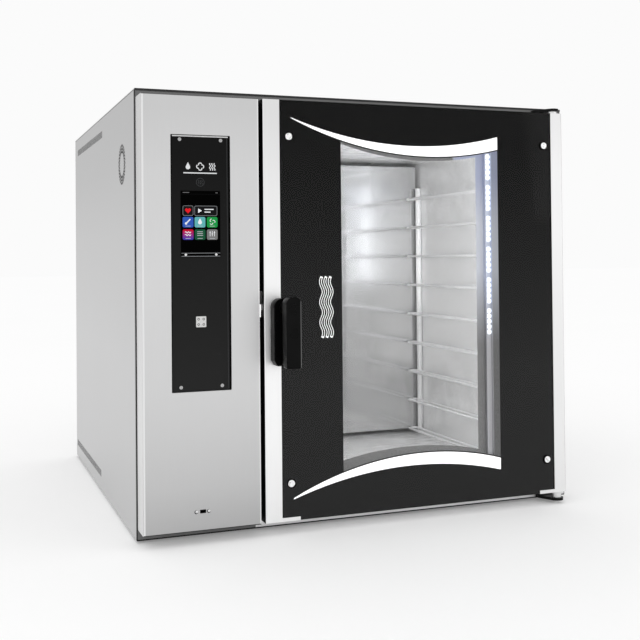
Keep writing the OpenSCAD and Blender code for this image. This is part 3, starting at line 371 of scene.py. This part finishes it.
# The control plate's black, with painted light towards its lower end
m = black_painted_lighter_below("plate_black", grey(0.019), grey(0.0052), 0.3, 0.75, 0.4, 0.08)
m.bump(m.noise(1200, 2), 0.00002, 0.5)
LOOKS["plate"] = m.m

m = Look("cap_metal", grey(0.93), 0.28, metal=0.35)
m.roughen(m.noise(140, 3), 0.22, 0.36).bump(m.noise(600, 2), 0.00002)
LOOKS["cap"] = m.m

m = Look("heater_sheath", (0.2, 0.19, 0.185), 0.42, metal=0.9)
m.tint(m.noise(70, 4), (0.12, 0.11, 0.11), (0.3, 0.26, 0.22)).roughen(m.noise(260, 3), 0.34, 0.56)
m.bump(m.noise(900, 2), 0.00005)
LOOKS["heater"] = m.m

m = Look("mineral_wool", (0.14, 0.136, 0.125), 0.95, spec=0.1)
m.tint(m.noise(160, 5, 0.7), (0.1, 0.097, 0.09), (0.19, 0.185, 0.17)).bump(m.noise(240, 5, 0.7), 0.002)
LOOKS["wool"] = m.m

m = Look("solder_resist", (0.016, 0.11, 0.045), 0.35)
m.tint(m.noise(420, 4), (0.009, 0.075, 0.028), (0.03, 0.15, 0.07)).bump(m.noise(800, 2), 0.00008)
LOOKS["board"] = m.m

# Little light reaches a print behind glass, so it gives off a trace of its own colour as painted light, and
# it is painted lighter towards its lower end
m = black_painted_lighter_below("print_black", grey(0.034), grey(0.008), 0.3, 0.8, 0.5, 0.0)
m.t.links.new(m.base, m.b.inputs["Emission Color"])
m.b.inputs["Emission Strength"].default_value = 0.5
LOOKS["print_black"] = m.m

m = Look("wave_core", grey(0.02), 0.4, spec=0.1)
m.tint(m.noise(240, 3), grey(0.016), grey(0.024))
LOOKS["wave_core"] = m.m

# The white print gives off light of its own: painted light
m = Look("print_white", grey(0.92), 0.5, spec=0.1)
m.tint(m.noise(240, 3), grey(0.89), grey(0.95))
m.b.inputs["Emission Color"].default_value = (1, 1, 1, 1)
m.b.inputs["Emission Strength"].default_value = 0.4
LOOKS["print_white"] = m.m

m = Look("screen_black", grey(0.0006), 0.3, spec=0.01)
m.roughen(m.noise(30, 3), 0.25, 0.35)
LOOKS["screen"] = m.m

# Grey print on the inner pane, slightly see-through, giving off light of its own as painted light; beside the
# light strip it is painted paler and bluish, as painted light from the strip
BESIDE_STRIP = (0.2, 0.4)
PALER_RISE = (0.36, 0.52)
BLUER_RISE = (0.62, 0.72)
m = Look("print_grey", grey(0.2), 0.5, spec=0.2)
m.tint(m.noise(300, 2), grey(0.17), grey(0.21))
beside = m.between(m.axis("X"), *BESIDE_STRIP, 0.004)
for rise, colour in ((PALER_RISE, (0.55, 0.57, 0.62)), (BLUER_RISE, (0.38, 0.41, 0.53))):
    m.over(m.math("MULTIPLY", beside, m.span(m.axis("Z"), 0.0, 1.0, *rise)), colour)
m.t.links.new(m.base, m.b.inputs["Emission Color"])
m.b.inputs["Emission Strength"].default_value = 0.45
m.b.inputs["Alpha"].default_value = 0.86
LOOKS["print_grey"] = m.m

# The light strip's aluminium, painted paler and bluish from mid height as painted light from the strip
m = brushed("strip_aluminium", (0.5, 0.5, 0.52), 0.4, "z", 0.04, 0.0)
m.over(m.span(m.axis("Z"), 0.0, 1.0, 0.36, 0.5), (0.66, 0.7, 0.82))
LOOKS["strip"] = m.m

m = Look("strip_lens", (0.9, 0.93, 1.0), 0.25)
m.tint(m.noise(400, 2), (0.86, 0.9, 0.98), (0.94, 0.97, 1.0))
m.b.inputs["Emission Color"].default_value = (0.93, 0.97, 1.0, 1)
m.b.inputs["Emission Strength"].default_value = 0.9
LOOKS["lens"] = m.m

m = Look("pane", grey(1.0), 0.0)
m.b.inputs["IOR"].default_value = 1.2
m.b.inputs["Transmission Weight"].default_value = 1.0
m.roughen(m.noise(9, 3), 0.0, 0.004)
LOOKS["glass"] = m.m

m = Look("led_chip", (0.95, 0.97, 1.0), 0.3)
m.b.inputs["Emission Color"].default_value = (0.9, 0.96, 1.0, 1)
m.b.inputs["Emission Strength"].default_value = 2.2
m.roughen(m.noise(900, 2), 0.2, 0.4)
LOOKS["led"] = m.m

WEARS = {
    "fascia": "control_fascia",
    "side": "left_side_panel right_side_panel",
    "cover": "top_cover rear_panel",
    "front_frame": "front_frame",
    "base": "base_frame base_tray",
    "shaded": "partition_panel motor_bulkhead",
    "left_stile": "left_stile",
    "right_stile": "right_stile",
    "liner": "door_frame",
    "cavity": "cavity_shell",
    "baffle": "fan_baffle",
    "screw": "panel_screws",
    "turned": "latch_tongue drain_strainer drain_pipe vent_pipe vent_damper hinge_pins",
    "cap": "glass_bolts",
    "wire": "left_rack right_rack",
    "aluminium": "upper_fan lower_fan",
    "strip": "led_profile",
    "copper": "steam_injector",
    "brass": "solenoid_valve",
    "bronze": "shaft_bushes hinge_bushes",
    "black": "cable_gland cooling_fan_frame cooling_rotor",
    "handle": "handle_base",
    "grip": "handle_lever",
    "rubber": "rubber_feet top_trim door_gasket outer_seal",
    "motor": "upper_fan_motor lower_fan_motor damper_actuator contactors",
    "black_metal": "hinge_brackets",
    "white": "latch_keeper",
    "plate": "control_plate",
    "heater": "upper_heater lower_heater",
    "wool": "insulation",
    "board": "display_module control_board",
    "print_black": "glass_border",
    "print_white": "glass_arches",
    "print_grey": "inner_border",
    "screen": "touch_screen",
    "glass": "outer_glass inner_glass",
    "led": "led_chips",
}
for look, names in WEARS.items():
    for name in names.split():
        o = nodes[name]
        o.data.materials.clear()
        o.data.materials.append(LOOKS[look])

# -------------------- finer edges on the pressed and moulded pieces


def soften(name, width, segments=2, angle=35):
    """Rounds a CAD node's sharp edges a little, without moving it."""
    o = nodes[name]
    merge = o.modifiers.new("merge", "WELD")
    merge.merge_threshold = 0.000005
    flat = o.modifiers.new("flat", "DECIMATE")
    flat.decimate_type = "DISSOLVE"
    flat.angle_limit = math.radians(1)
    b = o.modifiers.new("edge", "BEVEL")
    b.width = width
    b.segments = segments
    b.limit_method = "ANGLE"
    b.angle_limit = math.radians(angle)
    b.harden_normals = False


for name, width in (
    ("control_fascia", 0.0006),
    ("left_stile", 0.0006),
    ("right_stile", 0.0006),
    ("control_plate", 0.0005),
    ("touch_screen", 0.0003),
    ("handle_base", 0.0012),
    ("handle_lever", 0.0028),
    ("latch_keeper", 0.0008),
):
    soften(name, width, 3 if name == "handle_lever" else 2)

# -------------------- mesh helpers


class Solid:
    """Collects flat-sided and turned shapes into one mesh object, in the oven's places."""

    def __init__(self, name):
        self.name = name
        self.v, self.f, self.k = [], [], []
        self.mats = []

    def mat(self, m):
        if m not in self.mats:
            self.mats.append(m)
        return self.mats.index(m)

    def prism(self, outline, y0, y1, m):
        """An outline of (u, z) points, between two depths; y0 is the front."""
        k, n, s = self.mat(m), len(outline), len(self.v)
        for y in (y0, y1):
            self.v += [at(u, y, z) for u, z in outline]
        self.f += [tuple(s + i for i in range(n)), tuple(s + n + i for i in reversed(range(n)))]
        self.f += [(s + i, s + n + i, s + n + (i + 1) % n, s + (i + 1) % n) for i in range(n)]
        self.k += [k] * (n + 2)

    def stroke(self, points, w, y0, y1, m):
        """A line of constant width through (u, z) points."""
        left, right = [], []
        for i, p in enumerate(points):
            a = Vector(points[max(i - 1, 0)])
            b = Vector(points[min(i + 1, len(points) - 1)])
            d = (b - a).normalized()
            n = Vector((-d.y, d.x)) * w / 2
            left.append((p[0] + n.x, p[1] + n.y))
            right.append((p[0] - n.x, p[1] - n.y))
        self.quads(left, right, y0, y1, m)

    def quads(self, a, b, y0, y1, m):
        """A band between two lines of (u, z) points, between two depths."""
        k, n, s = self.mat(m), len(a), len(self.v)
        for y in (y0, y1):
            for row in (a, b):
                self.v += [at(u, y, z) for u, z in row]
        for i in range(n - 1):
            q = [(s + i, s + i + 1, s + n + i + 1, s + n + i)]
            q.append(tuple(j + 2 * n for j in reversed(q[0])))
            q.append((s + i, s + 2 * n + i, s + 2 * n + i + 1, s + i + 1))
            q.append((s + n + i, s + n + i + 1, s + 3 * n + i + 1, s + 3 * n + i))
            self.f += q
            self.k += [k] * 4
        self.f += [(s, s + n, s + 3 * n, s + 2 * n), (s + n - 1, s + 3 * n - 1, s + 4 * n - 1, s + 2 * n - 1)]
        self.k += [k, k]

    def turned(self, centre, profile, m, steps=64):
        """A shape turned about the y axis: profile is (radius, y) points, from the axis outwards."""
        k, s, n = self.mat(m), len(self.v), len(profile)
        for i in range(steps):
            a = 2 * math.pi * i / steps
            self.v += [at(centre[0] + r * math.cos(a), y, centre[1] + r * math.sin(a)) for r, y in profile]
        for i in range(steps):
            j = (i + 1) % steps
            for p in range(n - 1):
                self.f.append((s + i * n + p, s + i * n + p + 1, s + j * n + p + 1, s + j * n + p))
                self.k.append(k)
        self.f.append(tuple(s + i * n + n - 1 for i in range(steps)))
        self.k.append(k)

    def build(self, body, smooth=False):
        mesh = bpy.data.meshes.new(self.name)
        mesh.from_pydata(self.v, [], self.f)
        for m in self.mats:
            mesh.materials.append(m)
        mesh.polygons.foreach_set("material_index", self.k)
        mesh.validate()
        mesh.update()
        o = bpy.data.objects.new(self.name, mesh)
        bpy.context.scene.collection.objects.link(o)
        if smooth:
            mesh.polygons.foreach_set("use_smooth", [True] * len(mesh.polygons))
            mesh.set_sharp_from_angle(angle=math.radians(35))
        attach(o, body)


def round_rect(u0, z0, u1, z1, r, steps=6):
    out = []
    corners = ((u1 - r, z1 - r), (u0 + r, z1 - r), (u0 + r, z0 + r), (u1 - r, z0 + r))
    for turn, (cu, cz) in enumerate(corners):
        for i in range(steps + 1):
            a = math.radians(90 * turn + 90 * i / steps)
            out.append((cu + r * math.cos(a), cz + r * math.sin(a)))
    return out


def arc(cu, cz, r, a0, a1, steps=20):
    angles = [math.radians(a0 + (a1 - a0) * i / steps) for i in range(steps + 1)]
    return [(cu + r * math.cos(a), cz + r * math.sin(a)) for a in angles]


def circle(cu, cz, r, steps=28):
    return arc(cu, cz, r, 0, 360, steps)[:-1]


def lit(name, colour, glow=0.6):
    """A lit screen element: the colour shows by itself, with the gloss of the cover over it."""
    m = Look(name, shade(colour, 0.4), 0.3, spec=0.05)
    grid = m.noise(2600, 1)
    m.tint(grid, shade(colour, 0.36), shade(colour, 0.44))
    m.b.inputs["Emission Color"].default_value = (*colour, 1)
    m.b.inputs["Emission Strength"].default_value = glow
    return m.m


# -------------------- the touch screen's graphics

GLASS_Y = -55.5
white_glow = lit("glow_white", (0.86, 0.88, 0.9))
tiles = {
    "frame": lit("glow_frame", (0.006, 0.006, 0.007)),
    "line": lit("glow_line", (0.27, 0.28, 0.29)),
    "caption": lit("glow_caption", (0.5, 0.52, 0.55)),
    "red": lit("glow_red", (0.82, 0.012, 0.02)),
    "blue": lit("glow_blue", (0.03, 0.1, 0.46)),
    "teal": lit("glow_teal", (0.12, 0.45, 0.46)),
    "green": lit("glow_green", (0.012, 0.3, 0.06)),
    "dark_green": lit("glow_dark_green", (0.01, 0.09, 0.04)),
    "grey": lit("glow_grey", grey(0.2)),
}
# The lower left tile runs from red at its top to purple at its foot
MIX_STEPS = 6
MIX_RED = Vector((0.55, 0.006, 0.03))
MIX_PURPLE = Vector((0.06, 0.046, 0.37))
for step in range(MIX_STEPS):
    mixed = MIX_RED.lerp(MIX_PURPLE, step / (MIX_STEPS - 1))
    tiles["mix%d" % step] = lit("glow_mix%d" % step, tuple(mixed))
TILE_U = (80.9, 104.4, 128.5)
TILE_W = 21.2
TILE_R = 3.2
UPPER_ROW = (604.5, 624.7)
LOWER_ROW = (580.7, 600.8)
screen = Solid("screen_graphics")
back = GLASS_Y + 0.05
front = GLASS_Y - 0.12
glyph = GLASS_Y - 0.2


def tile(u0, z0, u1, z1, colour):
    screen.prism(round_rect(u0, z0, u1, z1, TILE_R), front, back, tiles[colour])


def outlined(u0, z0, u1, z1):
    loop = round_rect(u0, z0, u1, z1, TILE_R)
    inner = round_rect(u0 + 0.7, z0 + 0.7, u1 - 0.7, z1 - 0.7, 2.6)
    screen.prism(loop, front, back, tiles["frame"])
    screen.quads(loop + loop[:1], inner + inner[:1], glyph, front, tiles["line"])


outlined(81.3, 627.1, 101.9, 646.4)
outlined(104.3, 626.9, 149.2, 646.2)
HEART_STEPS = 40
heart = []
for i in range(HEART_STEPS):
    a = 2 * math.pi * i / HEART_STEPS
    across = 16 * math.sin(a) ** 3
    rise = 13 * math.cos(a) - 5 * math.cos(2 * a) - 2 * math.cos(3 * a) - math.cos(4 * a)
    heart.append((91.6 + 0.36 * across, 636.9 + 0.36 * rise))
screen.prism(heart, glyph, front, tiles["red"])
screen.prism([(111.5, 632.3), (111.5, 641.1), (119.0, 636.7)], glyph, front, white_glow)
screen.stroke([(124.0, 639.4), (142.0, 639.4)], 1.9, glyph, front, white_glow)
screen.stroke([(124.0, 634.2), (136.0, 634.2)], 1.9, glyph, front, white_glow)
for u0, name in zip(TILE_U, ("blue", "teal", "green")):
    tile(u0, UPPER_ROW[0], u0 + TILE_W, UPPER_ROW[1], name)
for u0, name in zip(TILE_U[1:], ("dark_green", "grey")):
    tile(u0, LOWER_ROW[0], u0 + TILE_W, LOWER_ROW[1], name)
shape = round_rect(TILE_U[0], LOWER_ROW[0], TILE_U[0] + TILE_W, LOWER_ROW[1], TILE_R)
BAND_H = (LOWER_ROW[1] - LOWER_ROW[0]) / MIX_STEPS
for step in range(MIX_STEPS):
    z1 = LOWER_ROW[1] - step * BAND_H
    band = [(u, min(max(z, z1 - BAND_H), z1)) for u, z in shape]
    screen.prism(band, front, back, tiles["mix%d" % step])
for u0 in TILE_U:
    for z0, _ in (UPPER_ROW, LOWER_ROW):
        screen.stroke([(u0 + 5.5, z0 + 2.6), (u0 + 15.7, z0 + 2.6)], 1.0, glyph, front, tiles["caption"])

# Light glyphs: a probe, a drop, a fan, a pair of waves, three lines and three sliders
screen.stroke([(87.0, 611.4), (96.0, 620.4)], 2.4, glyph, front, white_glow)
screen.prism(circle(87.6, 612.0, 2.3), glyph, front, white_glow)
drop = [(115.0, 622.2)] + arc(115.0, 614.2, 3.9, 30, -210, 18)
screen.prism(drop, glyph, front, white_glow)
for a0 in (0, 120, 240):
    r = math.radians(a0)
    blade = arc(139.1 + 2.8 * math.cos(r), 615.6 + 2.8 * math.sin(r), 2.8, a0 - 40, a0 + 130, 10)
    screen.stroke(blade, 1.2, glyph, front, white_glow)
for dz in (-2.6, 2.6):
    wave = [(85.6 + i * 0.6, 592.4 + dz + 1.4 * math.sin(i * 0.7)) for i in range(20)]
    screen.stroke(wave, 1.3, glyph, front, white_glow)
for z in (589.03, 592.6, 596.17):
    screen.stroke([(109.4, z), (120.6, z)], 1.2, glyph, front, tiles["caption"])
for i in range(3):
    u = 134.8 + 4.3 * i
    knob = 594.4 - 2.4 * (i % 2)
    screen.stroke([(u, 587.4), (u, 597.4)], 1.1, glyph, front, white_glow)
    screen.stroke([(u - 1.4, knob), (u + 1.4, knob)], 1.1, glyph, front, white_glow)
screen.stroke([(81.5, 671.6), (94.0, 671.6)], 1.0, glyph, front, tiles["grey"])
screen.stroke([(146.0, 671.6), (150.5, 671.6)], 1.0, glyph, front, tiles["grey"])
screen.stroke([(77.9, 668.6), (154.9, 668.6)], 0.5, glyph, front, tiles["frame"])
screen.build("oven_body")

# Two painted highlight lines and two screws on the bar below the screen
bar = Solid("screen_bar_highlights_and_screws")
BAR_Y = -56.5
BAR_SCREW = [(0.01, BAR_Y - 1.0), (1.6, BAR_Y - 0.9), (2.3, BAR_Y - 0.5), (2.5, BAR_Y)]
for z in (555.0, 549.0):
    bar.stroke([(78.2, z), (154.6, z)], 0.9, BAR_Y - 0.25, BAR_Y + 0.05, tiles["line"])
for u in (86.5, 146.5):
    bar.turned((u, 552.0), BAR_SCREW, LOOKS["turned"], 24)
bar.build("oven_body", smooth=True)

# -------------------- prints and labels on the control plate

PLATE_Y = -54.5
ink = Look("pale_ink", (0.8, 0.81, 0.82), 0.5, spec=0.2)
ink.tint(ink.noise(500, 3), (0.76, 0.77, 0.78), (0.86, 0.87, 0.88))
faint = Look("faint_ink", (0.05, 0.052, 0.055), 0.5, spec=0.2)
faint.tint(faint.noise(500, 3), (0.042, 0.044, 0.046), (0.06, 0.062, 0.066))
# A faint ring with waves, and above it a drop, a fan and steam waves over a line
marks = Solid("plate_marks")
p0, p1 = PLATE_Y - 0.08, PLATE_Y + 0.05
MIDDLE_U = 116.3
ring = circle(MIDDLE_U, 691.8, 8.2, 40)
core = circle(MIDDLE_U, 691.8, 7.4, 40)
marks.quads(ring + ring[:1], core + core[:1], p0, p1, faint.m)
for du in (-3.4, 0, 3.4):
    wave = [(MIDDLE_U + du + 0.9 * math.sin(i * 0.75), 687.4 + i * 0.6) for i in range(15)]
    marks.stroke(wave, 0.7, p0, p1, faint.m)
SIGN_Z = 722.0
sign_drop = [(MIDDLE_U - 24, SIGN_Z + 8.2)] + arc(MIDDLE_U - 24, SIGN_Z - 1.4, 4.4, 28, -208, 18)
marks.prism(sign_drop, p0, p1, ink.m)
for a0 in (0, 90, 180, 270):
    r = math.radians(a0)
    blade = arc(MIDDLE_U + 3.6 * math.cos(r), SIGN_Z + 3.6 * math.sin(r), 3.4, a0 - 60, a0 + 110, 10)
    marks.stroke(blade, 2.0, p0, p1, ink.m)
for du in (-4.4, 0, 4.4):
    wave = [(MIDDLE_U + 24 + du + 1.2 * math.sin(i * 0.7), SIGN_Z - 7 + i * 0.78) for i in range(19)]
    marks.stroke(wave, 1.7, p0, p1, ink.m)
marks.stroke([(MIDDLE_U - 33, SIGN_Z - 12.5), (MIDDLE_U + 33, SIGN_Z - 12.5)], 2.2, p0, p1, ink.m)
marks.build("oven_body")

# The rim of the recess: a painted highlight along the top lip, painted shade on the returns at the sides and
# along the top edge, and a painted shade line at the right
rim = Solid("plate_rim")
lip = Look("lip_painted_highlight", grey(0.6), 0.35, metal=1.0)
lip.tint(lip.noise(200, 3), grey(0.56), grey(0.66))
rim.stroke([(61.5, 780.4), (171.5, 780.4)], 2.4, PLATE_Y - 0.5, p1, lip.m)
for u in (58.8, 174.0):
    rim.stroke([(u, 290.0), (u, 782.0)], 2.2, PLATE_Y - 0.9, p1, LOOKS["screen"])
rim.stroke([(58.0, 782.2), (174.8, 782.2)], 0.8, PLATE_Y - 0.9, p1, LOOKS["screen"])
rim.stroke([(169.6, 292.0), (169.6, 778.6)], 0.8, PLATE_Y - 0.3, p1, faint.m)
rim.build("oven_body")

# A plain label with four rings
label = Solid("plate_label")
paper = Look("label_paper", (0.72, 0.72, 0.71), 0.6, spec=0.2)
paper.tint(paper.noise(300, 3), (0.66, 0.66, 0.65), (0.78, 0.78, 0.77)).bump(paper.noise(700, 2), 0.00002)
label.prism(round_rect(106.2, 412.4, 126.2, 433.2, 1.2), PLATE_Y - 0.15, p1, paper.m)
for a in (0, 90, 180, 270):
    r = math.radians(a + 45)
    cu, cz = 116.2 + 7.2 * math.cos(r), 422.8 + 7.2 * math.sin(r)
    hole = circle(cu, cz, 2.3, 20)
    pip = circle(cu, cz, 1.3, 20)
    label.quads(hole + hole[:1], pip + pip[:1], PLATE_Y - 0.2, PLATE_Y - 0.1, LOOKS["plate"])
label.build("oven_body")

# -------------------- handle cap and small screws

HUB = (280.0, 447.0)
CAP_Y = -128.0
# Radius and depth behind CAP_Y: a button with two shallow grooves
CAP_STEPS = (
    (0.01, -0.1),
    (3.0, -0.1),
    (3.4, 0.5),
    (3.9, 0.5),
    (4.3, -0.05),
    (6.4, 0.0),
    (6.8, 0.6),
    (7.4, 0.6),
    (7.8, 0.0),
    (8.9, 0.15),
    (9.1, 0.8),
)
cap = Solid("handle_cap")
cap.turned(HUB, [(r, CAP_Y + dy) for r, dy in CAP_STEPS], LOOKS["grip"])
cap.build("handle", smooth=True)

PORT_Z = 60.0
PORT_SCREW = [(0.01, -58.9), (1.6, -58.8), (2.4, -58.5), (2.8, -57.95)]
small = Solid("fascia_screws")
for cu in (104.2, 128.6):
    small.turned((cu, PORT_Z), PORT_SCREW, LOOKS["turned"], 24)
    # A dark ring set off to the left and below each screw: painted shadow
    screw_shadow = circle(cu - 0.9, PORT_Z - 0.3, 3.7)
    edge = circle(cu - 0.3, PORT_Z, 2.7)
    small.quads(screw_shadow + screw_shadow[:1], edge + edge[:1], -58.06, -57.98, LOOKS["screen"])
small.build("oven_body", smooth=True)

# -------------------- black washers under the glass caps, which also stand in for the caps' shadow as painted shade, and lenses on the light strip

WASHER = [(0.01, -59.4), (9.2, -59.4), (9.6, -59.0), (9.6, -57.8)]
washers = Solid("cap_washers_and_shade")
for centre in ((296.2, 786.0), (887.7, 786.0), (296.2, 97.5), (887.7, 97.5)):
    washers.turned(centre, WASHER, LOOKS["screen"], 40)
washers.build("door", smooth=True)

CHIP_U = 760.0
CHIP_TOP = 760.5
GROUP_PITCH = 67.0
CHIP_PITCH = 11.5
LENS = [(0.01, -38.9), (2.4, -38.7), (4.2, -38.0), (5.3, -36.6)]
lenses = Solid("light_lenses")
for group in range(6):
    for i in range(5):
        z = CHIP_TOP - GROUP_PITCH * group - CHIP_PITCH * i
        lenses.turned((CHIP_U, z), LENS, LOOKS["lens"], 28)
lenses.build("door", smooth=True)

# Hot-air waves on the glass, drawn in outline, where a sign belongs
waves = Solid("glass_waves")
for k in range(3):
    middle = 364.5 + 9.5 * k
    line = [(middle + 3.0 * math.sin(i * 0.46), 383.0 + i * 3.0) for i in range(42)]
    waves.stroke(line, 5.8, -57.1, -56.95, LOOKS["print_white"])
    waves.stroke(line[1:-1], 3.0, -57.16, -57.02, LOOKS["wave_core"])
waves.build("door")

# -------------------- screws of the rear panel

REAR_SCREW = [(0.01, 923.4), (2.2, 923.2), (3.6, 922.4), (4.2, 920.8)]
rear_places = [(u, z) for u in (30.0, 258.0, 486.0, 714.0, 942.0) for z in (28.0, 862.0)]
rear_places += [(u, z) for u in (14.0, 958.0) for z in (240.0, 450.0, 660.0)]
rear = Solid("rear_screws")
for place in rear_places:
    rear.turned(place, REAR_SCREW, LOOKS["turned"], 24)
rear.build("oven_body", smooth=True)

# -------------------- camera

camera = bpy.data.objects.new("camera", bpy.data.cameras.new("camera"))
bpy.context.scene.collection.objects.link(camera)
camera.location = (-0.83304, -2.33634, 0.55095)
camera.rotation_euler = Euler((math.pi / 2 + 0.0152, 0, -0.3625), "XYZ")
camera.rotation_euler.rotate_axis("Z", -0.0090)
camera.data.lens = 55.83
camera.data.sensor_width = 36
camera.data.shift_y = -0.1224
camera.data.clip_end = 200
bpy.context.scene.camera = camera

# -------------------- floor, world and lamps


def lamp(name, place, target, size, power, colour=(1, 1, 1), body=None):
    data = bpy.data.lights.new(name, "AREA")
    data.shape = "RECTANGLE"
    data.size, data.size_y = size
    data.energy = power
    data.color = colour
    o = bpy.data.objects.new(name, data)
    bpy.context.scene.collection.objects.link(o)
    o.location = place
    o.rotation_euler = (Vector(target) - Vector(place)).to_track_quat("-Z", "Y").to_euler()
    o.visible_camera = False
    if body:
        o.parent = frame["bodies"][body]
    return o


SEEN_WHITE = 0.965
ROOM_LIGHT = 0.88
FLOOR_GLOW = 0.2


def seen_rays(tree):
    """1 for rays that show the backdrop: seen directly, off gloss or through glass. 0 for rays that light."""
    path = tree.nodes.new("ShaderNodeLightPath")
    total = path.outputs["Is Camera Ray"]
    for kind in ("Is Glossy Ray", "Is Transmission Ray"):
        most = tree.nodes.new("ShaderNodeMath")
        most.operation = "MAXIMUM"
        tree.links.new(total, most.inputs[0])
        tree.links.new(path.outputs[kind], most.inputs[1])
        total = most.outputs[0]
    return total


floor_mesh = bpy.data.meshes.new("floor")
floor_mesh.from_pydata([(-30, -30, 0), (30, -30, 0), (30, 30, 0), (-30, 30, 0)], [], [(0, 1, 2, 3)])
floor = bpy.data.objects.new("floor", floor_mesh)
bpy.context.scene.collection.objects.link(floor)
look = Look("floor_pale", grey(0.88), 0.9, spec=0.0)
look.tint(look.noise(1.2, 2), grey(0.877), grey(0.883))
look.b.inputs["Emission Color"].default_value = (1, 1, 1, 1)
look.t.links.new(look.math("MULTIPLY", seen_rays(look.t), FLOOR_GLOW), look.b.inputs["Emission Strength"])
floor_mesh.materials.append(look.m)

world = bpy.data.worlds.new("studio")
bpy.context.scene.world = world
world.use_nodes = True
t = world.node_tree
t.nodes.clear()
out = t.nodes.new("ShaderNodeOutputWorld")
studio = t.nodes.new("ShaderNodeBackground")
studio.inputs["Color"].default_value = (1, 1, 1, 1)
studio.inputs["Strength"].default_value = ROOM_LIGHT
plain = t.nodes.new("ShaderNodeBackground")
plain.inputs["Color"].default_value = (SEEN_WHITE, SEEN_WHITE, SEEN_WHITE, 1)
mix = t.nodes.new("ShaderNodeMixShader")
t.links.new(seen_rays(t), mix.inputs["Fac"])
t.links.new(studio.outputs[0], mix.inputs[1])
t.links.new(plain.outputs[0], mix.inputs[2])
t.links.new(mix.outputs[0], out.inputs["Surface"])

lamp("key", (-2.2, -2.6, 2.6), (0, 0, 0.4), (1.6, 1.6), 10)
lamp("fill", (2.4, -2.4, 1.4), (0, 0, 0.4), (1.4, 1.4), 4)
lamp("cavity_light", at(592, 8, 430), at(592, 400, 430), (0.5, 0.66), 2.8).visible_glossy = False
lamp("led_light", at(800, -6, 620), at(880, 560, 620), (0.012, 0.34), 0.9, (0.95, 0.98, 1.0), "door")

bpy.context.scene.view_settings.view_transform = "Standard"
